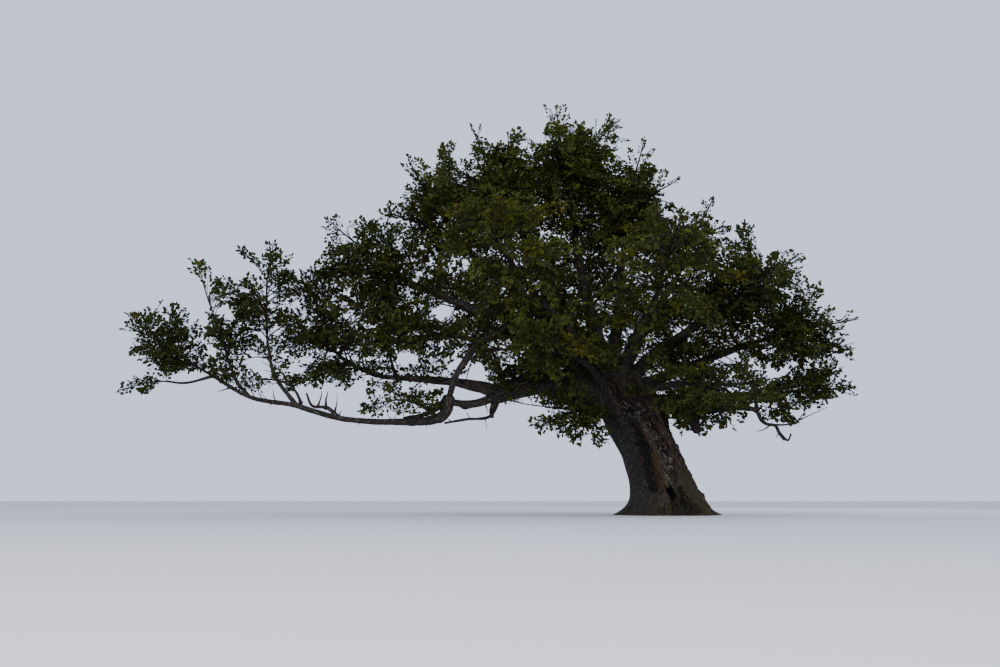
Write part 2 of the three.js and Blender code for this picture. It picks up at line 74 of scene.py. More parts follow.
# The trunk up its lean: height, how far its middle has moved along X, and radius
TRUNK_RISE = [
    (0.000, 0.060, 0.780),
    (0.290, 0.050, 0.715),
    (0.580, -0.030, 0.655),
    (0.880, -0.115, 0.630),
    (1.270, -0.262, 0.618),
    (1.670, -0.460, 0.635),
    (1.970, -0.585, 0.660),
    (2.270, -0.770, 0.680),
    (2.580, -0.960, 0.690),
    (2.780, -1.070, 0.620),
    (2.920, -1.130, 0.430),
]

# Each root buttress: its bearing in degrees from +X, how far it stands out, and how high it climbs
ROOTS = [
    (2, 0.300, 0.150),
    (60, 0.310, 0.330),
    (118, 0.340, 0.360),
    (180, 0.300, 0.130),
    (236, 0.300, 0.330),
    (300, 0.330, 0.380),
]
ROOT_SHARPNESS = 13

# Each knot or burr: its height, bearing in degrees, how wide it spreads and how far it stands out
KNOTS = [
    (0.390, 352, 0.085, 0.068),
    (0.860, 352, 0.060, 0.040),
    (1.500, 250, 0.190, 0.050),
    (1.750, 120, 0.220, 0.080),
    (1.330, 340, 0.080, 0.025),
    (0.600, 262, 0.120, 0.045),
    (0.330, 276, 0.110, 0.050),
    (1.900, 285, 0.120, 0.040),
    (2.150, 310, 0.100, 0.045),
    (0.900, 90, 0.150, 0.060),
    (1.300, 30, 0.120, 0.050),
    (0.700, 200, 0.100, 0.030),
]

# Each fold that runs up from the foot: its bearing in degrees, half width, depth, and how high it runs
FOLDS = [
    (251, 0.045, 0.080, 0.45),
    (283, 0.040, 0.075, 0.40),
    (318, 0.050, 0.070, 0.32),
    (205, 0.050, 0.060, 0.30),
    (150, 0.060, 0.080, 0.40),
    (88, 0.060, 0.090, 0.45),
    (30, 0.055, 0.070, 0.35),
]


@dataclass(frozen=True)
class Mark:
    """A ridge, crease or stain on the trunk's front: the points it passes, as x and z, and half its width."""

    route: tuple[tuple[float, float], ...]
    width: float
    rise: float = 0.0

    def nearness(self, places: np.ndarray) -> np.ndarray:
        """Returns 1 on the mark, less away from it, and 0 on the trunk's far side.

        Args:
            places: The trunk's vertices, (N, 3).
        """
        flat = places[:, [0, 2]]
        points = np.array(self.route)
        far = np.full(len(flat), np.inf)
        for start, end in zip(points, points[1:]):
            run = end - start
            share = np.clip((flat - start) @ run / max(run @ run, 1e-9), 0, 1)
            far = np.minimum(far, np.linalg.norm(flat - start - share[:, None] * run, axis=1))
        return np.exp(-((far / self.width) ** 2)) * on_front(places)


# The line down the front that parts smooth bark on its left from rugged bark on its right, as x and z
BARK_LINE = [
    (-1.15, 2.40), (-0.98, 2.05), (-0.70, 1.63), (-0.44, 1.17), (-0.29, 0.84), (-0.26, 0.44), (-0.43, 0.0),
]

MARKS = [
    Mark(((-0.73, 1.96), (-0.41, 1.63), (-0.21, 1.15), (-0.08, 0.67)), 0.070, 0.040),
    Mark(((-0.25, 2.25), (-0.09, 1.78), (0.09, 1.34)), 0.050, 0.035),
    Mark(((-0.38, 0.52), (-0.24, 0.45), (-0.10, 0.50), (0.02, 0.46)), 0.038, -0.042),
    Mark(((-0.24, 0.34), (-0.12, 0.32)), 0.090, 0.045),
    Mark(((0.34, 0.59), (0.50, 0.35), (0.68, 0.10)), 0.120, 0.070),
    Mark(((0.20, 0.50), (0.23, 0.29), (0.31, 0.10)), 0.035, -0.080),
    Mark(((0.02, 0.42), (0.05, 0.05)), 0.050, -0.040),
    Mark(((-0.95, 2.30), (-0.75, 2.10)), 0.120, -0.050),
    Mark(((-0.58, 2.42), (-0.42, 2.30)), 0.100, -0.040),
]
# A recess down the front, sunk a little and darkened through the hollow mask as painted shade
PAINTED_SHADOW_RECESS = Mark(((-0.68, 1.98), (-0.52, 1.54), (-0.41, 1.20), (-0.35, 0.85), (-0.29, 0.56)), 0.105, -0.036)
OCHRE_STAIN = Mark(((-0.26, 1.13), (-0.21, 0.86), (-0.15, 0.52)), 0.060)
LICHEN_BAND = Mark(
    ((-0.72, 2.05), (-0.44, 1.80), (-0.27, 1.60), (-0.15, 1.24), (-0.02, 1.05), (-0.05, 0.60)), 0.170
)


class Wood(Enum):
    """Whether a limb is alive or long dead."""

    LIVE = "bark"
    DEAD = "dead_wood"


@dataclass(frozen=True)
class LimbPlan:
    """Where a limb leaves from, the points that it passes, and its radius at the foot and the tip, in mm."""

    name: str
    foot: Point | str
    at: float
    route: tuple[Point, ...]
    girth: tuple[float, float]
    wood: Wood = Wood.LIVE
    taper: float = 1.4


LIMBS = [
    LimbPlan("left_limb", (-1120, -50, 2330), 0, ((-2250, -150, 2610), (-3270, -300, 2370)), (400, 180)),
    LimbPlan(
        "sagging_limb_arch", (-1200, -150, 2700), 0, ((-2750, -900, 3650), (-3810, -1000, 3180)),
        (170, 66), taper=2.0,
    ),
    LimbPlan(
        "sagging_limb_drop", "sagging_limb_arch", 0.96, ((-4080, -950, 2640), (-4240, -860, 2130)),
        (66, 58),
    ),
    LimbPlan(
        "low_bough", "sagging_limb_drop", 0.93, ((-4270, -872, 1960), (-4460, -895, 1815),
        (-5300, -900, 1760), (-6310, -800, 1840), (-7290, -600, 2130)), (112, 50), taper=3.2,
    ),
    LimbPlan("low_bough_end", "low_bough", 0.985, ((-8160, -400, 2290), (-9030, -200, 2770)), (50, 34)),
    LimbPlan("lower_prong", "left_limb", 0.94, ((-3720, -500, 2150), (-4200, -800, 2150)), (100, 68)),
    LimbPlan("upper_prong", "left_limb", 0.96, ((-4040, -100, 2605), (-5550, 100, 2750)), (130, 50)),
    LimbPlan(
        "hanging_twig", "left_limb", 0.97, ((-3420, -420, 1920), (-3900, -640, 1830),
        (-4290, -840, 1745)), (34, 22), Wood.DEAD,
    ),
    LimbPlan(
        "dead_fork", "low_bough", 0.7, ((-6560, -780, 2040), (-6870, -720, 2090), (-6990, -700, 2330)),
        (42, 20), Wood.DEAD,
    ),
    LimbPlan("far_tip_bough", "low_bough_end", 0.96, ((-9500, -200, 2595), (-9940, -100, 2640)), (32, 20)),
    LimbPlan(
        "inner_left_bough", "low_bough_end", 0.5, ((-8480, -300, 2640), (-8590, -400, 2960)), (42, 28),
    ),
    LimbPlan("left_peak_bough", "low_bough", 0.97, ((-7680, -500, 2735), (-7820, -500, 3300)), (48, 30)),
    LimbPlan("low_spray_bough", "low_bough", 0.14, ((-4750, -1080, 2080), (-4950, -1150, 2140)), (40, 24)),
    LimbPlan(
        "left_rising_bough", "sagging_limb_arch", 0.62, ((-3900, -500, 4100), (-4850, 0, 4600)), (100, 60),
    ),
    LimbPlan(
        "left_layer_bough", "sagging_limb_arch", 0.93, ((-3930, -700, 3420), (-4180, -550, 3480)),
        (62, 40),
    ),
    LimbPlan("upper_left_bough", (-1280, 0, 2700), 0, ((-2500, 0, 4150), (-3600, -100, 5050)), (180, 90)),
    LimbPlan("top_left_bough", (-1200, 150, 2750), 0, ((-1900, 150, 4100), (-2550, 50, 5300)), (170, 85)),
    LimbPlan("top_bough", (-1100, 0, 2780), 0, ((-1400, 0, 4100), (-1620, 0, 5250)), (180, 90)),
    LimbPlan("top_right_bough", (-980, 120, 2750), 0, ((-820, 200, 3900), (-760, 100, 4850)), (165, 80)),
    LimbPlan("right_upper_bough", (-880, -20, 2680), 0, ((-350, 0, 3600), (120, 0, 4350)), (150, 75)),
    LimbPlan("right_shoulder_bough", (-780, 60, 2560), 0, ((200, 100, 3400), (1000, 0, 3950)), (150, 70)),
    LimbPlan("right_far_bough", (-680, 0, 2420), 0, ((700, 100, 3000), (1850, 0, 3420)), (135, 60)),
    LimbPlan("right_low_bough", (-560, 160, 2250), 0, ((900, 200, 2340), (2000, 100, 2400)), (125, 55)),
    LimbPlan(
        "dead_hook_bough", (-420, -150, 2150), 0, ((820, -300, 2040), (1600, -400, 2080),
        (1815, -400, 2000), (1890, -400, 1850), (1985, -400, 1765), (2165, -400, 1725),
        (2235, -400, 1585), (2330, -400, 1455)), (140, 26), Wood.DEAD, taper=1.5,
    ),
    LimbPlan(
        "hanging_stub", "dead_hook_bough", 0.36, ((600, -310, 1800), (650, -320, 1640)), (108, 86),
        Wood.DEAD,
    ),
    LimbPlan("skirt_bough", (-1150, -400, 2300), 0, ((-1400, -620, 2220), (-1500, -700, 2150)), (60, 34)),
    LimbPlan(
        "front_left_bough", (-1150, -250, 2600), 0, ((-1950, -1300, 3500), (-2450, -1800, 3900)),
        (140, 75),
    ),
    LimbPlan(
        "front_right_bough", (-900, -250, 2560), 0, ((-700, -1300, 3250), (-550, -1900, 3600)), (140, 75),
    ),
    LimbPlan(
        "front_low_left_bough", (-1180, -320, 2480), 0, ((-1500, -1050, 2800), (-1750, -1400, 2900)),
        (95, 55),
    ),
    LimbPlan(
        "front_low_right_bough", (-680, -300, 2280), 0, ((-100, -950, 2450), (250, -1250, 2460)), (95, 55),
    ),
    LimbPlan(
        "back_left_bough", (-1180, 300, 2600), 0, ((-2300, 1300, 3500), (-3100, 1700, 3900)), (150, 75),
    ),
    LimbPlan(
        "back_top_bough", (-1080, 300, 2700), 0, ((-1150, 1100, 3700), (-1200, 1600, 4300)), (150, 75),
    ),
    LimbPlan("back_right_bough", (-880, 300, 2500), 0, ((-100, 1150, 3250), (450, 1500, 3550)), (140, 70)),
    LimbPlan("back_low_bough", (-800, 380, 2250), 0, ((-800, 1300, 2500), (-850, 1700, 2560)), (110, 60)),
]


@dataclass(frozen=True)
class MassPlan:
    """The limb that carries a mass of foliage, the tip that it reaches, and its half sizes, in mm."""

    name: str
    limb: str
    tip: Point
    breadth: float
    height: float
    density: float = 1.0


MASSES = [
    MassPlan("far_tip_leaves", "far_tip_bough", (-10790, 0, 2500), 330, 270, 5.0),
    MassPlan("far_left_leaves", "low_bough_end", (-10840, 50, 3870), 820, 660, 1.6),
    MassPlan("inner_left_leaves", "inner_left_bough", (-9280, -600, 4980), 520, 380, 1.4),
    MassPlan("left_peak_leaves", "left_peak_bough", (-7850, -300, 5450), 850, 680, 1.6),
    MassPlan("left_hanging_leaves", "upper_prong", (-7680, 450, 4200), 1300, 1000, 1.1),
    MassPlan("low_spray_leaves", "low_spray_bough", (-5750, -1250, 2000), 500, 300, 1.1),
    MassPlan("left_layer_leaves", "left_layer_bough", (-5800, -600, 3350), 950, 540, 1.3),
    MassPlan("left_shoulder_leaves", "left_rising_bough", (-6830, 0, 6050), 1500, 1150, 0.9),
    MassPlan("upper_left_leaves", "upper_left_bough", (-5150, -200, 7300), 1750, 1150, 1.1),
    MassPlan("top_left_leaves", "top_left_bough", (-3850, 0, 8080), 1800, 1100, 1.1),
    MassPlan("top_leaves", "top_bough", (-2050, 0, 8500), 1900, 1200, 1.1),
    MassPlan("top_right_leaves", "top_right_bough", (-200, 0, 7780), 1800, 1080, 1.1),
    MassPlan("right_upper_leaves", "right_upper_bough", (1200, 0, 6480), 1750, 980, 1.1),
    MassPlan("right_shoulder_leaves", "right_shoulder_bough", (2920, 0, 5280), 1650, 930, 1.0),
    MassPlan("right_far_leaves", "right_far_bough", (4070, 0, 3930), 1400, 800, 1.0),
    MassPlan("right_low_leaves", "right_low_bough", (3850, 0, 2540), 1250, 520, 0.9),
    MassPlan("skirt_leaves", "skirt_bough", (-2530, -900, 1660), 750, 460, 2.5),
    MassPlan("front_left_leaves", "front_left_bough", (-3800, -3400, 5400), 1600, 1250, 0.9),
    MassPlan("front_right_leaves", "front_right_bough", (-100, -3400, 5200), 1600, 1250, 0.9),
    MassPlan("front_low_left_leaves", "front_low_left_bough", (-2800, -3000, 3100), 1100, 640, 0.9),
    MassPlan("front_low_right_leaves", "front_low_right_bough", (1500, -2600, 2100), 1100, 560, 0.8),
    MassPlan("back_left_leaves", "back_left_bough", (-4900, 3100, 5400), 1700, 1300, 0.8),
    MassPlan("back_top_leaves", "back_top_bough", (-1500, 3400, 6600), 1900, 1450, 0.75),
    MassPlan("back_right_leaves", "back_right_bough", (1700, 3200, 4900), 1700, 1250, 0.8),
    MassPlan("back_low_leaves", "back_low_bough", (-1000, 3900, 3350), 2000, 900, 0.8),
]


@dataclass(frozen=True)
class ForkPlan:
    """A side stem of a mass: where it leaves the mass's stem, the tip that it reaches and its half sizes."""

    name: str
    mass: str
    at: float
    tip: Point
    breadth: float
    height: float
    density: float = 1.0


FORKS = [
    ForkPlan("top_right_of_top", "top_leaves", 0.40, (-867, 0, 8164), 900, 700, 1.2),
    ForkPlan("top_left_of_top", "top_left_leaves", 0.45, (-2875, 0, 7897), 900, 700, 1.2),
    ForkPlan("upper_left_inner", "upper_left_leaves", 0.45, (-4322, -100, 7594), 900, 650, 1.2),
    ForkPlan("upper_left_lower", "upper_left_leaves", 0.10, (-5592, -100, 6184), 900, 600, 0.75),
    ForkPlan("left_saddle", "left_hanging_leaves", 0.35, (-7163, 300, 5048), 800, 650, 1.1),
    ForkPlan("left_front", "left_shoulder_leaves", 0.08, (-5962, -900, 5552), 900, 750, 0.6),
    ForkPlan("inner_left_side", "left_peak_leaves", 0.25, (-8343, -400, 4612), 550, 420, 1.3),
    ForkPlan("left_peak_side", "left_peak_leaves", 0.55, (-8430, -400, 5233), 350, 280, 1.2),
    ForkPlan("far_left_upper", "far_left_leaves", 0.25, (-9937, 0, 4138), 520, 380, 2.0),
    ForkPlan("inner_left_low", "inner_left_leaves", 0.03, (-8500, -300, 3950), 520, 520, 1.9),
    ForkPlan("left_peak_low", "left_peak_leaves", 0.03, (-7150, -300, 3850), 560, 460, 1.3),
    ForkPlan("shoulder_low", "left_shoulder_leaves", 0.10, (-6900, 0, 4900), 950, 800, 1.1),
    ForkPlan("far_left_lower", "far_left_leaves", 0.10, (-10650, 0, 3300), 500, 330, 2.0),
    ForkPlan("low_spray_upper", "low_spray_leaves", 0.05, (-5400, -900, 2420), 420, 200, 0.6),
    ForkPlan("left_hanging_low", "left_hanging_leaves", 0.25, (-7451, 100, 2608), 700, 360, 1.4),
    ForkPlan("left_middle", "left_layer_leaves", 0.15, (-5600, 300, 4450), 1100, 700, 1.0),
    ForkPlan("left_middle_low", "left_layer_leaves", 0.50, (-6250, -200, 4250), 800, 520, 1.3),
    ForkPlan("low_spray_side", "low_spray_leaves", 0.03, (-4520, -1280, 1960), 460, 230, 2.2),
    ForkPlan("right_upper_inner", "right_upper_leaves", 0.45, (428, 0, 6279), 800, 550, 1.1),
    ForkPlan("right_shoulder_inner", "right_shoulder_leaves", 0.30, (1908, 0, 5849), 900, 600, 1.2),
    ForkPlan("right_shoulder_side", "right_shoulder_leaves", 0.50, (2442, 0, 5315), 800, 500, 0.85),
    ForkPlan("right_far_upper", "right_far_leaves", 0.15, (3326, 0, 4514), 800, 480, 1.2),
    ForkPlan("right_far_lower", "right_far_leaves", 0.15, (3827, 0, 3290), 900, 420, 1.1),
    ForkPlan("right_low_side", "right_low_leaves", 0.10, (3300, -200, 2420), 700, 260, 1.1),
    ForkPlan("skirt_right", "skirt_leaves", 0.05, (-1300, -600, 1420), 560, 330, 2.0),
    ForkPlan("skirt_left", "skirt_leaves", 0.10, (-3038, -500, 2222), 460, 240, 2.4),
    ForkPlan("fringe_right", "front_low_right_leaves", 0.08, (760, -150, 1640), 700, 300, 0.8),
    ForkPlan("fringe_outer", "front_low_right_leaves", 0.25, (1560, -450, 2080), 460, 170, 1.3),
    ForkPlan("low_spray_inner", "low_spray_leaves", 0.02, (-4450, -1100, 2314), 420, 190, 2.2),
    ForkPlan("front_high", "top_leaves", 0.45, (-1650, -1500, 7350), 850, 600, 0.8),
    ForkPlan("front_high_right", "top_right_leaves", 0.35, (-350, -1500, 6600), 800, 600, 0.8),
    ForkPlan("right_notch", "right_upper_leaves", 0.55, (1380, 0, 5860), 520, 360, 1.3),
    ForkPlan("fringe_inner", "front_low_right_leaves", 0.02, (230, -600, 1760), 420, 240, 0.9),
    ForkPlan("right_layer", "right_low_leaves", 0.02, (3500, -100, 2900), 800, 280, 1.1),
    ForkPlan("shoulder_inside", "right_shoulder_leaves", 0.05, (1900, -300, 4350), 700, 480, 1.0),
    ForkPlan("far_inside", "right_far_leaves", 0.05, (2800, -900, 3150), 750, 420, 1.1),
    ForkPlan("right_low_fringe", "right_low_leaves", 0.02, (2480, -400, 1850), 460, 260, 2.4),
    ForkPlan("hook_tuft", "right_low_leaves", 0.01, (2110, -430, 1880), 300, 200, 2.2),
    ForkPlan("stub_tuft", "front_low_right_leaves", 0.06, (1180, -350, 1760), 400, 200, 1.5),
    ForkPlan("skirt_middle", "skirt_leaves", 0.05, (-1800, -800, 1440), 420, 230, 2.0),
    ForkPlan("inner_left_knob", "left_peak_leaves", 0.22, (-8930, -350, 4590), 330, 250, 1.6),
    ForkPlan("elbow_tuft", "low_spray_leaves", 0.02, (-4450, -1000, 2060), 380, 170, 2.2),
    ForkPlan("arch_root", "front_low_left_leaves", 0.05, (-3973, -800, 3128), 560, 320, 1.3),
    ForkPlan("front_top", "top_leaves", 0.25, (-2300, -2300, 7100), 1150, 850, 0.85),
    ForkPlan("front_top_left", "top_left_leaves", 0.25, (-4300, -2100, 6500), 1100, 850, 0.85),
    ForkPlan("front_top_right", "top_right_leaves", 0.25, (100, -2100, 6200), 1100, 850, 0.85),
    ForkPlan("front_shoulder", "right_shoulder_leaves", 0.15, (1900, -2100, 4600), 1000, 700, 0.85),
    ForkPlan("back_top_left", "top_left_leaves", 0.25, (-3900, 2300, 6900), 1150, 900, 0.75),
    ForkPlan("back_top_right", "top_right_leaves", 0.25, (100, 2300, 6600), 1150, 850, 0.75),
    ForkPlan("back_shoulder", "right_shoulder_leaves", 0.15, (2300, 2000, 4800), 1000, 700, 0.6),
]

# The crown's outline, x and z in metres, round by the top as it is seen from the front on the plane y = 0
OUTLINE = [
    (-10.72, 3.25), (-10.76, 4.16), (-9.94, 4.18), (-9.29, 3.87), (-9.10, 4.30), (-9.28, 4.60),
    (-9.66, 5.14), (-9.12, 4.86), (-8.91, 4.87), (-8.65, 4.68), (-8.45, 4.77), (-8.20, 4.62),
    (-8.25, 4.91), (-8.58, 5.38), (-8.23, 5.36), (-7.88, 5.49), (-7.31, 5.05), (-7.08, 5.48),
    (-6.90, 5.80), (-6.64, 6.02), (-6.42, 6.22), (-6.18, 6.14), (-5.90, 6.26), (-5.60, 6.16),
    (-5.38, 6.34), (-5.10, 7.20), (-4.68, 7.18), (-4.32, 7.62), (-4.12, 7.02), (-3.96, 6.96),
    (-3.80, 8.00), (-3.44, 7.90), (-3.15, 7.80), (-2.90, 7.98), (-2.60, 7.70), (-2.33, 7.78),
    (-2.20, 8.35), (-2.05, 8.45), (-1.84, 8.34), (-1.65, 8.15), (-1.50, 8.36), (-1.19, 7.90),
    (-0.92, 8.22), (-0.76, 8.12), (-0.50, 7.34), (-0.19, 7.36), (0.02, 7.62), (0.10, 7.00), (0.15, 6.60),
    (0.20, 6.26), (0.37, 6.10), (0.54, 5.98), (0.72, 6.18), (0.98, 6.30), (1.25, 6.06), (1.48, 5.86),
    (1.88, 5.92), (2.12, 5.30), (2.38, 5.12), (2.69, 5.32), (2.78, 5.02), (2.94, 5.14), (3.00, 4.80),
    (3.22, 4.70), (3.28, 4.34), (3.60, 4.22), (3.81, 3.97), (3.87, 3.74), (3.74, 3.50), (3.83, 3.29),
    (3.65, 3.04), (3.65, 2.76), (3.80, 2.45), (3.13, 2.05), (2.75, 1.84), (2.45, 1.73), (2.05, 1.80),
    (1.62, 1.88), (1.36, 1.80), (1.10, 1.68), (0.56, 1.57), (-0.04, 1.35), (-0.98, 1.35), (-1.16, 1.27),
    (-2.04, 1.47), (-2.53, 1.85), (-2.03, 2.07), (-2.93, 2.21), (-3.40, 2.43), (-4.35, 1.88),
    (-4.70, 1.86), (-6.04, 2.01), (-6.35, 2.15), (-6.50, 2.43), (-7.22, 2.52), (-7.46, 2.41),
    (-8.47, 2.41), (-8.84, 2.50), (-9.15, 2.70), (-9.57, 2.74), (-9.93, 2.66), (-10.08, 2.47),
    (-10.38, 2.37), (-10.81, 2.52), (-10.59, 2.82), (-10.33, 2.92),
]

# The larger openings in the crown, seen the same way: the middle, then half the width and half the height
OPENINGS = [
    (-8.04, 2.92, 0.20, 0.21), (-7.50, 4.12, 0.28, 0.19), (-9.05, 3.25, 0.11, 0.13),
    (-9.57, 2.76, 0.34, 0.09), (-6.85, 2.26, 0.36, 0.17), (-5.09, 3.14, 0.24, 0.14),
    (-4.75, 2.55, 0.44, 0.06), (-3.87, 2.37, 0.30, 0.15), (-3.82, 2.04, 0.48, 0.13),
    (-3.62, 2.70, 0.18, 0.16), (-4.43, 4.12, 0.27, 0.23), (-1.77, 2.87, 0.21, 0.15),
    (-0.19, 3.50, 0.12, 0.15), (0.48, 3.74, 0.26, 0.14), (1.54, 2.52, 0.30, 0.11),
    (2.13, 2.18, 0.28, 0.08), (2.36, 2.83, 0.16, 0.09), (2.28, 3.34, 0.20, 0.06),
    (1.62, 4.45, 0.09, 0.11), (1.13, 2.11, 0.25, 0.08), (-2.73, 2.19, 0.20, 0.12),
    (-6.18, 2.44, 0.17, 0.13), (-7.99, 4.47, 0.13, 0.11), (2.62, 2.42, 0.22, 0.10),
    (-3.23, 3.29, 0.20, 0.13), (-9.52, 3.29, 0.14, 0.09), (-7.71, 3.74, 0.13, 0.10),
    (-8.95, 4.10, 0.10, 0.10), (1.65, 4.52, 0.09, 0.16), (1.75, 4.16, 0.10, 0.08),
    (1.38, 4.01, 0.08, 0.09), (-6.03, 5.68, 0.07, 0.06), (-5.73, 5.34, 0.07, 0.07),
    (-6.18, 5.25, 0.06, 0.06), (-3.01, 3.06, 0.20, 0.09), (-2.77, 3.25, 0.12, 0.06),
    (-7.31, 3.91, 0.15, 0.13), (-7.79, 4.18, 0.13, 0.10), (-8.74, 3.95, 0.12, 0.12),
]


@dataclass(frozen=True)
class Growth:
    """A small growth of a limb: the limb's name and its own, the points it passes, and its radii, in mm."""

    limb: str
    name: str
    route: tuple[Point, ...]
    girth: tuple[float, float]
    wood: Wood = Wood.DEAD

    def plan(self) -> LimbPlan:
        """Returns the growth as a limb that leaves its own first point."""
        return LimbPlan(self.name, self.route[0], 0, self.route[1:], self.girth, self.wood)


GROWTHS = [
    Growth(
        "dead_hook_bough", "hook_end", ((2324, -400, 1487), (2400, -400, 1440), (2465, -400, 1565)),
        (23, 17),
    ),
    Growth(
        "dead_hook_bough", "hook_riser", ((1822, -400, 2030), (1794, -380, 2331), (1750, -340, 2560)),
        (44, 30),
    ),
    Growth(
        "dead_hook_bough", "hook_twig", ((2121, -400, 1741), (2470, -350, 1764), (2849, -300, 1926),
        (3251, -250, 2108)), (20, 6),
    ),
    Growth(
        "dead_hook_bough", "hook_spur", ((2062, -400, 1741), (1915, -420, 1641), (1789, -450, 1620)),
        (18, 6),
    ),
    Growth(
        "dead_fork", "fork_prong_inner", ((-6594, -750, 2023), (-6604, -720, 2200), (-6574, -700, 2358)),
        (26, 10),
    ),
    Growth(
        "dead_fork", "fork_prong_outer", ((-6752, -740, 2082), (-6707, -700, 2260), (-6695, -680, 2379)),
        (20, 7),
    ),
    Growth(
        "low_bough", "low_bough_twig", ((-6417, -760, 1983), (-6377, -800, 2153), (-6378, -820, 2325)),
        (16, 5),
    ),
    Growth(
        "left_limb", "limb_stub", ((-3353, -320, 2181), (-3392, -340, 2041), (-3391, -360, 1901)),
        (48, 34),
    ),
    Growth(
        "low_bough", "elbow_burr", ((-4262, -870, 2030), (-4320, -885, 1868), (-4500, -900, 1800)),
        (98, 64), Wood.LIVE,
    ),
    Growth(
        "low_bough", "elbow_web", ((-4272, -870, 2165), (-4480, -870, 2003), (-4747, -870, 1887),
        (-5070, -870, 1829)), (66, 34), Wood.LIVE,
    ),
    Growth(
        "upper_prong", "prong_riser", ((-5366, 100, 2812), (-5453, 100, 3099), (-5540, 100, 3409),
        (-5629, 100, 3761)), (34, 16), Wood.LIVE,
    ),
    Growth(
        "low_bough", "low_riser", ((-7116, -560, 2150), (-7238, -500, 2380), (-7400, -480, 2530),
        (-7700, -480, 2625), (-7950, -460, 2640), (-8180, -440, 2850)), (30, 14), Wood.LIVE,
    ),
    Growth(
        "low_bough_end", "left_spur", ((-8612, -300, 2481), (-8729, -300, 2441), (-8846, -300, 2402)),
        (16, 5),
    ),
    Growth(
        "left_peak_bough", "cross_twig", ((-7814, -500, 3054), (-8032, -500, 3074), (-8280, -450, 3041)),
        (17, 6), Wood.LIVE,
    ),
    Growth(
        "hanging_twig", "hanging_fork", ((-4146, -620, 1782), (-4225, -600, 1823), (-4285, -580, 1882)),
        (14, 6),
    ),
    Growth(
        "sagging_limb_drop", "drop_twig", ((-3829, -980, 2790), (-3868, -950, 2639), (-3888, -900, 2510)),
        (14, 6),
    ),
]


# Plain helpers


def unit(vectors: np.ndarray) -> np.ndarray:
    """Returns vectors, of any shape (..., 3), made one long."""
    return vectors / np.maximum(np.linalg.norm(vectors, axis=-1, keepdims=True), 1e-12)


def draw_for(name: str) -> np.random.Generator:
    """Returns repeatable random numbers, seeded by a name.

    Args:
        name: The name, which is summed letter by letter as in the part's source.
    """
    state = 7
    for letter in name:
        state = (state * 31 + ord(letter)) & 0xFFFFFFFF
    return np.random.default_rng(state)


def smooth_step(low: float, high: float, value: np.ndarray) -> np.ndarray:
    """Returns 0 on low's side, 1 on high's side, and a smooth rise between them."""
    share = np.clip((value - low) / (high - low), 0, 1)
    return share * share * (3 - 2 * share)


def on_front(places: np.ndarray) -> np.ndarray:
    """Returns 1 on the trunk's front, towards the viewer, 0 on its far side, and a smooth rise between."""
    return smooth_step(0.05, 0.3, -places[:, 1])


def turned(vectors: np.ndarray, axes: np.ndarray, angles: np.ndarray | float) -> np.ndarray:
    """Turns vectors about axes.

    Args:
        vectors: What is turned, (..., 3).
        axes: Unit axes, (..., 3).
        angles: The turns in radians.

    Returns:
        The turned vectors.
    """
    angles = np.asarray(angles, float)[..., None]
    along = axes * np.sum(axes * vectors, axis=-1, keepdims=True)
    return along + (vectors - along) * np.cos(angles) + np.cross(axes, vectors) * np.sin(angles)


class BentLine:
    """A smooth line through points, measured along its length, as the part's source draws its limbs."""

    PIECES = 200

    def __init__(self, points: list | np.ndarray) -> None:
        """Draws a centripetal spline through the points.

        Args:
            points: The points that it passes.
        """
        passed = np.array(points, float)
        ends = [2 * passed[:1] - passed[1:2], passed, 2 * passed[-1:] - passed[-2:-1]]
        control = np.vstack(ends)
        dense = []
        for t in np.linspace(0, len(passed) - 1, self.PIECES + 1):
            k = min(int(t), len(passed) - 2)
            dense.append(self._between(control[k : k + 4], t - k))
        self._store(np.array(dense))

    def _store(self, dense: np.ndarray) -> None:
        """Keeps the points of the line and how far along it each is."""
        self.dense = dense
        steps = np.linalg.norm(np.diff(dense, axis=0), axis=1)
        self.travel = np.concatenate([[0], np.cumsum(steps)])
        self.length = float(self.travel[-1])

    @staticmethod
    def _between(four: np.ndarray, weight: float) -> np.ndarray:
        """Returns the point at a weight from 0 to 1 between the middle two of four points."""
        gaps = np.sqrt(np.linalg.norm(np.diff(four, axis=0), axis=1))
        first = (four[1] - four[0]) / gaps[0] - (four[2] - four[0]) / (gaps[0] + gaps[1])
        first = (first + (four[2] - four[1]) / gaps[1]) * gaps[1]
        last = (four[2] - four[1]) / gaps[1] - (four[3] - four[1]) / (gaps[1] + gaps[2])
        last = (last + (four[3] - four[2]) / gaps[2]) * gaps[1]
        square = -3 * four[1] + 3 * four[2] - 2 * first - last
        cube = 2 * four[1] - 2 * four[2] + first + last
        return four[1] + first * weight + square * weight**2 + cube * weight**3

    @classmethod
    def bow(cls, start: np.ndarray, lead: np.ndarray, end: np.ndarray, pieces: int = 24) -> "BentLine":
        """Returns a line that leaves start towards lead and arrives at end, as a quadratic curve."""
        t = np.linspace(0, 1, pieces + 1)[:, None]
        line = cls.__new__(cls)
        line._store((1 - t) ** 2 * start + 2 * t * (1 - t) * lead + t**2 * end)
        return line

    def point(self, share: np.ndarray | float) -> np.ndarray:
        """Returns the point, or points, at a share of the length."""
        wanted = np.asarray(share, float) * self.length
        return np.stack([np.interp(wanted, self.travel, self.dense[:, k]) for k in range(3)], axis=-1)

    def heading(self, share: np.ndarray | float) -> np.ndarray:
        """Returns the unit heading, or headings, at a share of the length."""
        share = np.asarray(share, float)
        return unit(self.point(np.minimum(share + 0.01, 1)) - self.point(np.maximum(share - 0.01, 0)))


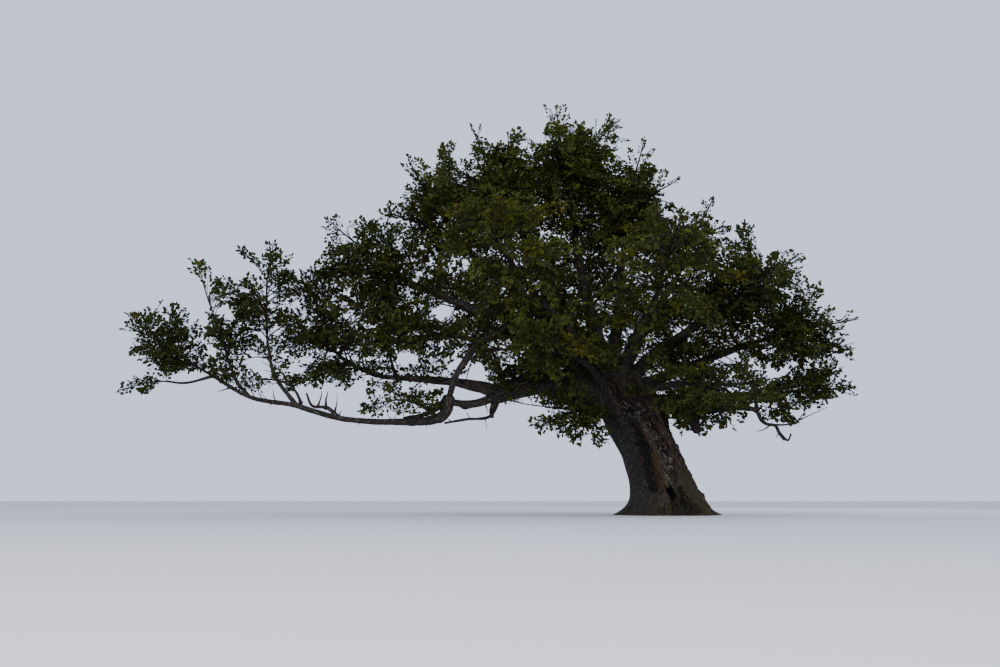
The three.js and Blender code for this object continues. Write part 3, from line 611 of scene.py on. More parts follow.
def carried_frames(headings: np.ndarray) -> tuple[np.ndarray, np.ndarray]:
    """Carries a pair of cross directions along a line without twisting them.

    Args:
        headings: The line's unit headings, (K, 3).

    Returns:
        The two cross directions at each heading, both (K, 3).
    """
    start = np.cross(headings[0], UP if abs(headings[0][2]) < 0.9 else np.array([1.0, 0.0, 0.0]))
    sides = [unit(start)]
    for heading in headings[1:]:
        side = sides[-1] - heading * np.dot(sides[-1], heading)
        sides.append(unit(side))
    across = np.array(sides)
    return across, np.cross(headings, across)


# Vertices and triangles of many small shapes, and how many of each one shape has
Arrays = tuple[np.ndarray, np.ndarray, int, int]


def repeated(faces: np.ndarray, corners: int, count: int) -> np.ndarray:
    """Repeats one small shape's triangles for many shapes that follow each other.

    Args:
        faces: The triangles of the first, (F, 3).
        corners: How many vertices each shape has.
        count: How many shapes there are.

    Returns:
        All the triangles, (F * count, 3).
    """
    return (faces[None] + corners * np.arange(count)[:, None, None]).reshape(-1, 3)


def joined_mesh(name: str, vertices: np.ndarray, faces: np.ndarray, smooth: bool) -> bpy.types.Object:
    """Makes one object of many small shapes from arrays.

    Args:
        name: The piece's name.
        vertices: Places in metres, (V, 3).
        faces: Triangles by vertex number, (F, 3).
        smooth: Whether its faces are shaded as one smooth surface.

    Returns:
        The object, linked to the scene.
    """
    mesh = bpy.data.meshes.new(name)
    mesh.vertices.add(len(vertices))
    mesh.vertices.foreach_set("co", np.ascontiguousarray(vertices, np.float32).ravel())
    mesh.loops.add(3 * len(faces))
    mesh.loops.foreach_set("vertex_index", np.ascontiguousarray(faces, np.int32).ravel())
    mesh.polygons.add(len(faces))
    mesh.polygons.foreach_set("loop_start", np.arange(0, 3 * len(faces), 3, dtype=np.int32))
    mesh.polygons.foreach_set("use_smooth", np.full(len(faces), smooth))
    mesh.update(calc_edges=True)
    mesh.validate()
    piece = bpy.data.objects.new(name, mesh)
    bpy.context.scene.collection.objects.link(piece)
    return piece


def face_key(corners: list[int], count: int) -> float:
    """Returns a number that orders a tube's faces by their lowest and highest corner out of a count."""
    return float(min(corners) * count + max(corners))


def round_tube(name: str, sides: int, rings: int) -> bpy.types.Object:
    """Spins a line of points into a closed tube one wide and one high, to be bent into a trunk or limb.

    Args:
        name: The piece's name.
        sides: Its sides round.
        rings: Its lengths along +Z.

    Returns:
        The object. A vertex's z times rings is its ring.
    """
    bm = bmesh.new()
    line = [bm.verts.new((1, 0, k / rings)) for k in range(rings + 1)]
    edges = [bm.edges.new(pair) for pair in zip(line, line[1:])]
    turn = {"cent": (0, 0, 0), "axis": (0, 0, 1), "angle": FULL_TURN, "steps": sides, "use_merge": True}
    bmesh.ops.spin(bm, geom=[*line, *edges], **turn)
    bmesh.ops.holes_fill(bm, edges=[edge for edge in bm.edges if edge.is_boundary], sides=0)
    bmesh.ops.recalc_face_normals(bm, faces=bm.faces)
    bm.verts.index_update()
    # A spin lists its faces in another order each run, so they are put in order by their corners
    bm.faces.sort(key=lambda face: face_key([corner.index for corner in face.verts], len(bm.verts)))
    mesh = bpy.data.meshes.new(name)
    bm.to_mesh(mesh)
    bm.free()
    mesh.polygons.foreach_set("use_smooth", [len(p.vertices) == 4 for p in mesh.polygons])
    piece = bpy.data.objects.new(name, mesh)
    bpy.context.scene.collection.objects.link(piece)
    return piece


def tube_rings(piece: bpy.types.Object, rings: int) -> tuple[np.ndarray, np.ndarray]:
    """Reads a round tube's vertices.

    Args:
        piece: The tube from round_tube.
        rings: Its lengths.

    Returns:
        Each vertex's ring, as a whole number, and its turn round the tube in radians.
    """
    places = np.empty(len(piece.data.vertices) * 3, np.float32)
    piece.data.vertices.foreach_get("co", places)
    places = places.reshape(-1, 3)
    return np.rint(places[:, 2] * rings).astype(int), np.arctan2(places[:, 1], places[:, 0])


def place_vertices(piece: bpy.types.Object, places: np.ndarray) -> None:
    """Moves a piece's vertices to their places."""
    piece.data.vertices.foreach_set("co", np.ascontiguousarray(places, np.float32).ravel())
    piece.data.update()


def give_attribute(piece: bpy.types.Object, name: str, values: np.ndarray) -> None:
    """Writes one number a vertex, which the piece's material reads."""
    attribute = piece.data.attributes.new(name, "FLOAT", "POINT")
    attribute.data.foreach_set("value", np.ascontiguousarray(values, np.float32))


def lay_grain(piece: bpy.types.Object, places: np.ndarray) -> None:
    """Writes where each vertex is on the wood laid straight along +Z, in which its bark is drawn."""
    attribute = piece.data.attributes.new("grain", "FLOAT_VECTOR", "POINT")
    attribute.data.foreach_set("vector", np.ascontiguousarray(places, np.float32).ravel())


def enrol(piece: bpy.types.Object, slot: str, nodes: list[str]) -> None:
    """Makes a piece part of the tree.

    Args:
        piece: The finished piece.
        slot: The material slot that it would take its finish from; not used.
        nodes: The solids that it stands for.
    """
    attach(piece, "root")
    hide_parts(*nodes)
    log.info("%s: %d faces, for %d solids", piece.name, len(piece.data.polygons), len(nodes))


# Finishes


class NodeBench:
    """A node tree with short ways to add and join its nodes."""

    def __init__(self, tree: bpy.types.NodeTree) -> None:
        """Takes an empty node tree."""
        self.tree = tree

    def add(self, kind: str, **values: object) -> bpy.types.Node:
        """Adds a node.

        Args:
            kind: Its type's name.
            values: Its own settings, and with a name that starts in_ the value or link of an input, whose
                underscores stand for spaces.

        Returns:
            The node.
        """
        node = self.tree.nodes.new(kind)
        for key, value in values.items():
            if not key.startswith("in_"):
                setattr(node, key, value)
        for key, value in values.items():
            if key.startswith("in_"):
                self.feed(node, key[3:], value)
        return node

    def feed(self, node: bpy.types.Node, name: str, value: object) -> None:
        """Gives a node's input a value, or links it to another node's output."""
        found = [s for s in node.inputs if s.name.replace(" ", "_") == name and s.enabled]
        found = found or [s for s in node.inputs if s.identifier == name]
        if isinstance(value, bpy.types.NodeSocket):
            self.tree.links.new(value, found[0])
        else:
            found[0].default_value = value

    def mix(self, mask: object, low: object, high: object) -> bpy.types.NodeSocket:
        """Returns a colour mixed from two by a mask."""
        node = self.add("ShaderNodeMix", data_type="RGBA")
        for identifier, value in (("Factor_Float", mask), ("A_Color", low), ("B_Color", high)):
            self.feed(node, identifier, value)
        return next(s for s in node.outputs if s.identifier == "Result_Color")

    def math(self, operation: str, first: object, second: object) -> bpy.types.NodeSocket:
        """Returns the result of a sum on two numbers."""
        node = self.add("ShaderNodeMath", operation=operation)
        for socket, value in zip(node.inputs, (first, second)):
            if isinstance(value, bpy.types.NodeSocket):
                self.tree.links.new(value, socket)
            else:
                socket.default_value = value
        return node.outputs[0]

    def ramp(self, value: object, low: float, high: float) -> bpy.types.NodeSocket:
        """Returns 0 where value is under low, 1 where it is over high, and a smooth rise between."""
        node = self.add("ShaderNodeMapRange", interpolation_type="SMOOTHSTEP")
        for name, item in (("Value", value), ("From_Min", low), ("From_Max", high)):
            self.feed(node, name, item)
        return node.outputs[0]

    def attribute(self, name: str, output: str = "Fac") -> bpy.types.NodeSocket:
        """Returns a piece's own number at each vertex, or its own place with the output Vector."""
        return self.add("ShaderNodeAttribute", attribute_name=name).outputs[output]

    def patches(self, mottle: bpy.types.NodeTree, where: object, kind: "Patches") -> bpy.types.NodeSocket:
        """Returns the mask of one set of patches.

        Args:
            mottle: The group for uneven patches.
            where: The places in which they are drawn.
            kind: Their size and edges.
        """
        node = self.add("ShaderNodeGroup", node_tree=mottle, in_Place=where)
        values = {"Scale": kind.scale, "Detail": kind.detail, "Low": kind.low, "High": kind.high}
        for title, value in values.items():
            self.feed(node, title, value)
        return node.outputs["Mask"]

    def skin(self, colour: object, height: object, strength: float, depth: float) -> bpy.types.Node:
        """Ends the material with a surface.

        Args:
            colour: Its colour.
            height: Its fine relief, from 0 to 1.
            strength: How strongly the relief shows.
            depth: How deep it is in metres.

        Returns:
            The surface's shader, whose constant values are set on its own inputs.
        """
        bump = self.add("ShaderNodeBump", in_Height=height, in_Strength=strength, in_Distance=depth)
        shader = self.add("ShaderNodeBsdfPrincipled", in_Base_Color=colour, in_Normal=bump.outputs[0])
        self.add("ShaderNodeOutputMaterial", in_Surface=shader.outputs[0])
        return shader


def new_material(name: str) -> tuple[bpy.types.Material, NodeBench, bpy.types.NodeSocket]:
    """Starts a material.

    Args:
        name: Its name.

    Returns:
        The material, its bench, and the socket of Object coordinates.
    """
    material = bpy.data.materials.new(name)
    material.use_nodes = True
    material.node_tree.nodes.clear()
    bench = NodeBench(material.node_tree)
    return material, bench, bench.add("ShaderNodeTexCoord").outputs["Object"]


def new_group(name: str, inputs: dict[str, float], outputs: tuple[str, ...]) -> tuple:
    """Starts a shader node group of numbers that are read in a place.

    Args:
        name: The group's name.
        inputs: Its number inputs and their usual values, beside the place.
        outputs: Its number outputs.

    Returns:
        The group, its bench, its input node and its output node.
    """
    group = bpy.data.node_groups.new(name, "ShaderNodeTree")
    group.interface.new_socket("Place", in_out="INPUT", socket_type="NodeSocketVector")
    for title, usual in inputs.items():
        socket = group.interface.new_socket(title, in_out="INPUT", socket_type="NodeSocketFloat")
        socket.default_value = usual
    for title in outputs:
        group.interface.new_socket(title, in_out="OUTPUT", socket_type="NodeSocketFloat")
    bench = NodeBench(group)
    return group, bench, bench.add("NodeGroupInput"), bench.add("NodeGroupOutput")


def mottle_group() -> bpy.types.NodeTree:
    """Returns the group for uneven patches: a mask that is 1 inside cloudy patches."""
    group, bench, given, result = new_group(
        "mottle", {"Scale": 4, "Detail": 4, "Low": 0.45, "High": 0.6}, ("Mask",)
    )
    cloud = bench.add(
        "ShaderNodeTexNoise",
        in_Vector=given.outputs["Place"],
        in_Scale=given.outputs["Scale"],
        in_Detail=given.outputs["Detail"],
    )
    mask = bench.ramp(cloud.outputs["Fac"], given.outputs["Low"], given.outputs["High"])
    bench.feed(result, "Mask", mask)
    return group


def bark_relief_group() -> bpy.types.NodeTree:
    """Returns the group for bark: a height made of cracks between plates and of fine grain."""
    group, bench, given, result = new_group(
        "bark_relief", {"Plates": 16, "Grain": 70, "Crack": 0.5}, ("Height", "Cracks")
    )
    warp = bench.add("ShaderNodeTexNoise", in_Vector=given.outputs["Place"], in_Scale=6.0, in_Detail=3.0)
    bent = bench.add("ShaderNodeVectorMath", operation="MULTIPLY_ADD")
    bench.tree.links.new(warp.outputs["Color"], bent.inputs[0])
    bent.inputs[1].default_value = (0.12, 0.12, 0.12)
    bench.tree.links.new(given.outputs["Place"], bent.inputs[2])
    plates = bench.add(
        "ShaderNodeTexVoronoi",
        feature="DISTANCE_TO_EDGE",
        in_Vector=bent.outputs[0],
        in_Scale=given.outputs["Plates"],
    )
    cracks = bench.ramp(plates.outputs["Distance"], 0.0, 0.16)
    grain = bench.add(
        "ShaderNodeTexNoise",
        in_Vector=given.outputs["Place"],
        in_Scale=given.outputs["Grain"],
        in_Detail=6.0,
        in_Roughness=0.65,
    )
    deep = bench.math("MULTIPLY", cracks, given.outputs["Crack"])
    bench.feed(result, "Height", bench.math("ADD", deep, grain.outputs["Fac"]))
    bench.feed(result, "Cracks", cracks)
    return group


@dataclass(frozen=True)
class Patches:
    """A set of uneven patches: how many to a metre, how ragged, and between which values their edges fade."""

    scale: float
    detail: float
    low: float
    high: float


RUST_PATCHES = Patches(7, 5, 0.5, 0.68)
PITS = Patches(36, 6, 0.46, 0.56)
OCHRE_PATCHES = Patches(16, 5, 0.30, 0.62)
MOSS_PATCHES = Patches(13, 7, 0.42, 0.58)
LEAF_PATCHES = Patches(9, 3, 0.42, 0.58)


@dataclass(frozen=True)
class BarkFinish:
    """The finish of a trunk, limb or twig: its colours, how rough its bark is, and what grows on it."""

    name: str
    smooth: Colour
    flaky: Colour
    lichen: Colour
    flaking: float
    lichen_cover: float
    crack_depth: float
    plates: float
    has_masks: bool = False
    has_grain: bool = True
    flecks: float = 30
    stretch: float = 0.42
    relief_depth: float = 0.012
    relief_strength: float = 0.75
    roughness: float = 0.9
    gloss: float = 0.2
    # Painted highlight laid on the bark's ridges
    painted_ridge_highlight: Colour = (0.120, 0.088, 0.062, 1)
    moss: Colour = (0.038, 0.036, 0.007, 1)
    ochre: Colour = (0.070, 0.037, 0.011, 1)
    rust: Colour = (0.042, 0.021, 0.013, 1)
    # Near black: the pits, and painted shade in the cracks, the furrows and the hollow
    dark: Colour = (0.005, 0.004, 0.003, 1)

    def make(self, mottle: bpy.types.NodeTree, relief: bpy.types.NodeTree) -> bpy.types.Material:
        """Makes the material.

        Args:
            mottle: The group for uneven patches.
            relief: The group for bark.

        Returns:
            The material.
        """
        material, bench, place = new_material(self.name)
        if self.has_grain:
            place = bench.attribute("grain", "Vector")
        long_place = bench.add("ShaderNodeMapping", in_Vector=place, in_Scale=(1, 1, self.stretch)).outputs[0]

        def patches(where: object, kind: Patches) -> object:
            """Returns the mask of one set of patches."""
            return bench.patches(mottle, where, kind)

        def times(first: object, second: object) -> object:
            """Returns the product of two masks."""
            return bench.math("MULTIPLY", first, second)

        height = bench.add("ShaderNodeGroup", node_tree=relief, in_Place=long_place)
        bench.feed(height, "Plates", self.plates)
        bench.feed(height, "Crack", self.crack_depth)
        if self.has_masks:
            rough = bench.attribute("rough")
            cover = bench.math("ADD", times(bench.attribute("lichen"), 0.75), 0.25)
        else:
            rough = patches(long_place, Patches(2.2, 5, 0.62 - self.flaking, 0.78 - self.flaking))
            cover = 1.0
        colour = bench.mix(rough, self.smooth, self.flaky)
        colour = bench.mix(times(patches(place, RUST_PATCHES), 0.8), colour, self.rust)
        pitted = bench.math("ADD", times(rough, 0.45), 0.35)
        colour = bench.mix(times(patches(long_place, PITS), pitted), colour, self.dark)
        # Painted shade: the cracks between the bark's plates are darkened towards near black where the bark
        # is rugged
        cracks = bench.math("SUBTRACT", 1.0, height.outputs["Cracks"])
        colour = bench.mix(times(times(cracks, rough), 0.6), colour, self.dark)
        if self.has_masks:
            crest = bench.attribute("crest")
            # Painted highlight on the ridges, where the relief stands out most, and painted shade in the
            # furrows, where it sinks
            colour = bench.mix(times(times(bench.ramp(crest, 0.55, 0.90), rough), 0.3), colour, self.painted_ridge_highlight)
            colour = bench.mix(times(bench.ramp(crest, 0.46, 0.10), 0.88), colour, self.dark)
        flecks = Patches(self.flecks, 7, 0.60 - self.lichen_cover, 0.66 - self.lichen_cover)
        colour = bench.mix(times(times(patches(long_place, flecks), cover), 0.8), colour, self.lichen)
        if self.has_masks:
            stain = times(bench.attribute("ochre"), patches(place, OCHRE_PATCHES))
            moss = times(bench.attribute("moss"), patches(place, MOSS_PATCHES))
            hollow = bench.attribute("hollow")
            # The hollow mask paints near-black shade into the rotten hollow and the recess; the ochre stain
            # and the moss are the bark's own colours
            for mask, tone in ((stain, self.ochre), (moss, self.moss), (hollow, self.dark)):
                colour = bench.mix(mask, colour, tone)
        skin = bench.skin(colour, height.outputs["Height"], self.relief_strength, self.relief_depth)
        skin.inputs["Roughness"].default_value = self.roughness
        skin.inputs["Specular IOR Level"].default_value = self.gloss
        return material


class Tint(Enum):
    """The greens that sprays of leaves are dealt out in, from the shaded heart to the sunlit edge: lit and
    shaded copies of one leaf green, that is painted shade and painted light, with some random tone.
    """

    DEEP = "deep"
    OLIVE = "olive"
    GREEN = "green"
    YELLOW = "yellow"


@dataclass(frozen=True)
class LeafFinish:
    """The finish of one tint of leaves: the two greens that it wavers between, and its gloss."""

    tint: Tint
    colour: Colour
    other: Colour
    slot: str = "leaves"
    vein_scale: float = 160.0
    vein_strength: float = 0.4
    vein_depth: float = 0.003
    roughness: float = 0.75
    gloss: float = 0.04

    def make(self, mottle: bpy.types.NodeTree) -> bpy.types.Material:
        """Makes the material.

        Args:
            mottle: The group for uneven patches.

        Returns:
            The material.
        """
        material, bench, place = new_material(f"leaf_{self.tint.value}")
        colour = bench.mix(bench.patches(mottle, place, LEAF_PATCHES), self.colour, self.other)
        veins = bench.add("ShaderNodeTexNoise", in_Vector=place, in_Scale=self.vein_scale, in_Detail=2.0)
        skin = bench.skin(colour, veins.outputs["Fac"], self.vein_strength, self.vein_depth)
        skin.inputs["Roughness"].default_value = self.roughness
        skin.inputs["Specular IOR Level"].default_value = self.gloss
        return material


TRUNK_BARK = BarkFinish(
    "trunk_bark",
    smooth=(0.023, 0.021, 0.0195, 1),
    flaky=(0.031, 0.0195, 0.0125, 1),
    lichen=(0.220, 0.192, 0.155, 1),
    flaking=0.1,
    lichen_cover=0.045,
    crack_depth=0.9,
    plates=20,
    has_masks=True,
)
LIMB_BARK = BarkFinish(
    "limb_bark",
    smooth=(0.030, 0.027, 0.022, 1),
    flaky=(0.022, 0.017, 0.013, 1),
    lichen=(0.085, 0.082, 0.060, 1),
    flaking=0.12,
    lichen_cover=0.04,
    crack_depth=0.35,
    plates=22,
)
DEAD_BARK = BarkFinish(
    "dead_bark",
    smooth=(0.030, 0.026, 0.022, 1),
    flaky=(0.018, 0.014, 0.011, 1),
    lichen=(0.090, 0.086, 0.064, 1),
    flaking=0.16,
    lichen_cover=0.05,
    crack_depth=0.45,
    plates=26,
)
TWIG_BARK = BarkFinish(
    "twig_bark",
    smooth=(0.022, 0.018, 0.013, 1),
    flaky=(0.014, 0.011, 0.008, 1),
    lichen=(0.050, 0.048, 0.034, 1),
    flaking=0.1,
    lichen_cover=0.0,
    crack_depth=0.1,
    plates=40,
    has_grain=False,
)
# The four leaf greens, from painted shade (deep) through olive and green to painted sunlight (yellow)
LEAF_FINISHES = [
    LeafFinish(Tint.DEEP, (0.030, 0.037, 0.010, 1), (0.041, 0.048, 0.011, 1)),
    LeafFinish(Tint.OLIVE, (0.045, 0.053, 0.010, 1), (0.060, 0.065, 0.012, 1)),
    LeafFinish(Tint.GREEN, (0.052, 0.068, 0.011, 1), (0.068, 0.080, 0.013, 1)),
    LeafFinish(Tint.YELLOW, (0.078, 0.082, 0.009, 1), (0.100, 0.090, 0.011, 1), "sunlit_leaves"),
]


# Trunk


@dataclass
class Trunk:
    """The leaning trunk: its flare, folds, knots, rotten hollow and bark."""

    sides: int = 340
    rings: int = 215
    crown_rings: int = 10
    crowding: float = 1.08
    twist: float = 0.22
    skin: float = 0.030
    trim: float = 0.035
    hollow_centre: tuple[float, float] = (0.035, 0.40)
    hollow_size: tuple[float, float] = (0.095, 0.155)
    hollow_depth: float = 0.20
    lip: float = 0.022
    ridge_rise: float = 0.030
    lump_rise: float = 0.022
    plate_rise: float = 0.030
    grain_rise: float = 0.014
    grain_girth: float = 0.64
    crest_range: float = 0.085
    dome: float = 0.10
    rise: np.ndarray = field(init=False)

    def __post_init__(self) -> None:
        """Draws the line of the trunk's lean, girth and height."""
        line = BentLine([(shift, radius, height) for height, shift, radius in TRUNK_RISE])
        self.rise = line.dense

    def shift(self, height: np.ndarray) -> np.ndarray:
        """Returns how far the trunk's middle has moved along X at a height."""
        return np.interp(height, self.rise[:, 2], self.rise[:, 0])

    def girth(self, height: np.ndarray) -> np.ndarray:
        """Returns the trunk's radius at a height, without its swellings."""
        return np.interp(height, self.rise[:, 2], self.rise[:, 1])

    @staticmethod
    def away(bearing: np.ndarray, other: float) -> np.ndarray:
        """Returns the angle between bearings in radians and another in degrees, from 0 to half a turn."""
        turn = np.abs(bearing - math.radians(other)) % FULL_TURN
        return np.minimum(turn, FULL_TURN - turn)

    def swelling(self, height: np.ndarray, bearing: np.ndarray) -> np.ndarray:
        """Returns how far the root buttresses and knots stand out, and the folds run in."""
        out = np.zeros_like(height)
        girth = self.girth(height)
        for root, reach, climb in ROOTS:
            facing = np.cos((bearing - math.radians(root)) / 2) ** 2
            out += reach * np.exp(-height / climb) * facing**ROOT_SHARPNESS
        for level, knot, spread, rise in KNOTS:
            round_it = self.away(bearing, knot) * girth
            out += rise * np.exp(-((height - level) ** 2 + round_it**2) / spread**2)
        for fold, width, depth, top in FOLDS:
            wander = 0.05 * np.sin(height * 9 + fold)
            round_it = self.away(bearing + wander, fold) * girth
            out -= depth * np.exp(-((round_it / width) ** 2)) * (1 - smooth_step(0.35 * top, top, height))
        return out

    def relief(self, places: np.ndarray, bearing: np.ndarray) -> tuple[np.ndarray, np.ndarray]:
        """Works out the bark's relief.

        Args:
            places: Each vertex on the trunk without its bark.
            bearing: Each vertex's bearing in radians.

        Returns:
            How far each vertex stands out, and how rugged the bark is there, from 0 to 1.
        """
        height = places[:, 2]
        turn = bearing + self.twist * height
        wide = np.stack([self.grain_girth * np.cos(turn), self.grain_girth * np.sin(turn), height], axis=-1)
        broad, fine, wander = (np.empty(len(height)) for _ in range(3))
        for k, (x, y, z) in enumerate(wide):
            ridge = 1 - 2 * abs(noise.noise(Vector((2.6 * x, 2.6 * y, 0.75 * z + 3))))
            minor = 1 - 2 * abs(noise.noise(Vector((7.5 * x, 7.5 * y, 2.0 * z + 9))))
            lumps = noise.noise(Vector((3.4 * x + 5, 3.4 * y, 3.0 * z)))
            wander[k] = noise.noise(Vector((1.7 * x, 1.7 * y, 1.4 * z + 20)))
            grain = noise.fractal(Vector((26 * x, 26 * y, 11 * z)), 0.9, 2.1, 4)
            near, far = noise.voronoi(Vector((17 * x + grain * 0.3, 17 * y, 7 * z + lumps)))[0][:2]
            edge = min(1.0, (far - near) * 3.2)
            broad[k] = self.ridge_rise * ridge + self.lump_rise * lumps + 0.004 * grain
            fine[k] = self.ridge_rise * minor + self.plate_rise * (edge - 0.5) + self.grain_rise * grain
        rugged = self.ruggedness(places, wander)
        return broad + fine * (0.10 + 0.90 * rugged) - self.skin, rugged

    def ruggedness(self, places: np.ndarray, wander: np.ndarray) -> np.ndarray:
        """Returns how rugged the bark is: smooth on the lee side, rugged to the right of the bark line."""
        levels = [z for _, z in reversed(BARK_LINE)]
        front = np.interp(places[:, 2], levels, [x for x, _ in reversed(BARK_LINE)])
        back = self.shift(places[:, 2]) - 0.1
        behind = smooth_step(-0.25, 0.25, places[:, 1])
        line = front + (back - front) * behind
        return smooth_step(-0.06, 0.10, places[:, 0] - line + 0.16 * wander)

    def build(self) -> bpy.types.Object:
        """Builds the trunk's bark.

        Returns:
            The piece, closed, with its masks as attributes.
        """
        total = self.rings + self.crown_rings
        piece = round_tube("trunk_bark", self.sides, total)
        ring, bearing = tube_rings(piece, total)
        top = TRUNK_RISE[-1][0]
        along = np.minimum(ring / self.rings, 1)
        height = top * along**self.crowding
        over = np.clip((ring - self.rings) / self.crown_rings, 0, 1)
        girth = self.girth(height) + self.swelling(height, bearing)
        girth -= self.trim * np.clip(np.cos(bearing), 0, 1) * smooth_step(2.2, 1.4, height)
        middle = self.shift(height)
        bare = np.stack([middle + girth * np.cos(bearing), girth * np.sin(bearing), height], axis=-1)
        out, rough = self.relief(bare, bearing)
        out += sum(mark.rise * mark.nearness(bare) for mark in (*MARKS, PAINTED_SHADOW_RECESS))
        radius = (girth + out) * np.cos(over * math.pi / 2 * 0.97)
        lift = self.dome * np.sin(over * math.pi / 2)
        x = middle + radius * np.cos(bearing)
        z = np.where(ring == 0, 0, height + lift + 0.02 * np.sin(5 * bearing) * over)
        places, hollow = self.sink_hollow(np.stack([x, radius * np.sin(bearing), z], axis=-1))
        place_vertices(piece, places)
        crest = np.clip(0.5 + (out - np.median(out)) / self.crest_range, 0, 1)
        # Masks that the bark reads: crest gives a painted highlight on ridges and painted shade in furrows,
        # hollow gives painted shade in the hollow and the recess; rough, ochre, lichen and moss are the
        # bark's own colours
        masks = {
            "rough": rough,
            "crest": crest,
            "hollow": np.maximum(hollow, 0.70 * PAINTED_SHADOW_RECESS.nearness(bare)),
            "ochre": OCHRE_STAIN.nearness(places),
            "lichen": np.maximum(LICHEN_BAND.nearness(places), 0.35 * rough * (places[:, 1] > 0)),
            "moss": self.moss_mask(bearing, height, crest),
        }
        for name, values in masks.items():
            give_attribute(piece, name, values)
        lay_grain(piece, np.stack([places[:, 0] - middle, places[:, 1], height], axis=-1))
        return piece

    def sink_hollow(self, places: np.ndarray) -> tuple[np.ndarray, np.ndarray]:
        """Pushes the rotten hollow into the front, with a raised lip round it.

        Args:
            places: The trunk's vertices.

        Returns:
            The moved vertices, and how deep in the hollow each is, from 0 to 1.
        """
        (x, z), (wide, high) = self.hollow_centre, self.hollow_size
        up = (places[:, 2] - z) / high
        across = (places[:, 0] - x) / wide + 0.35 * np.sin(3 * up) - 0.25 * up
        far = np.hypot(across, up)
        front = on_front(places)
        deep = front * (1 - smooth_step(0.45, 1.0, far))
        lip = front * np.exp(-(((far - 1.35) / 0.35) ** 2))
        moved = places.copy()
        moved[:, 1] += self.hollow_depth * deep - self.lip * lip
        moved[:, 2] += 0.03 * deep
        return moved, smooth_step(0.15, 0.8, deep)

    @staticmethod
    def moss_mask(bearing: np.ndarray, height: np.ndarray, crest: np.ndarray) -> np.ndarray:
        """Returns how much moss grows: most low on the right and front, and a little round the foot."""
        right = np.clip(np.cos(bearing - math.radians(318)), 0, 1) * (1 - smooth_step(0.4, 1.4, height))
        foot = 0.5 * (1 - smooth_step(0.05, 0.35, height))
        back = 0.6 * np.clip(np.cos(bearing - math.radians(90)), 0, 1) * (1 - smooth_step(0.8, 2.0, height))
        return np.clip((right * 0.6 + foot + back) * (0.45 + 0.7 * crest), 0, 1)


# Limbs


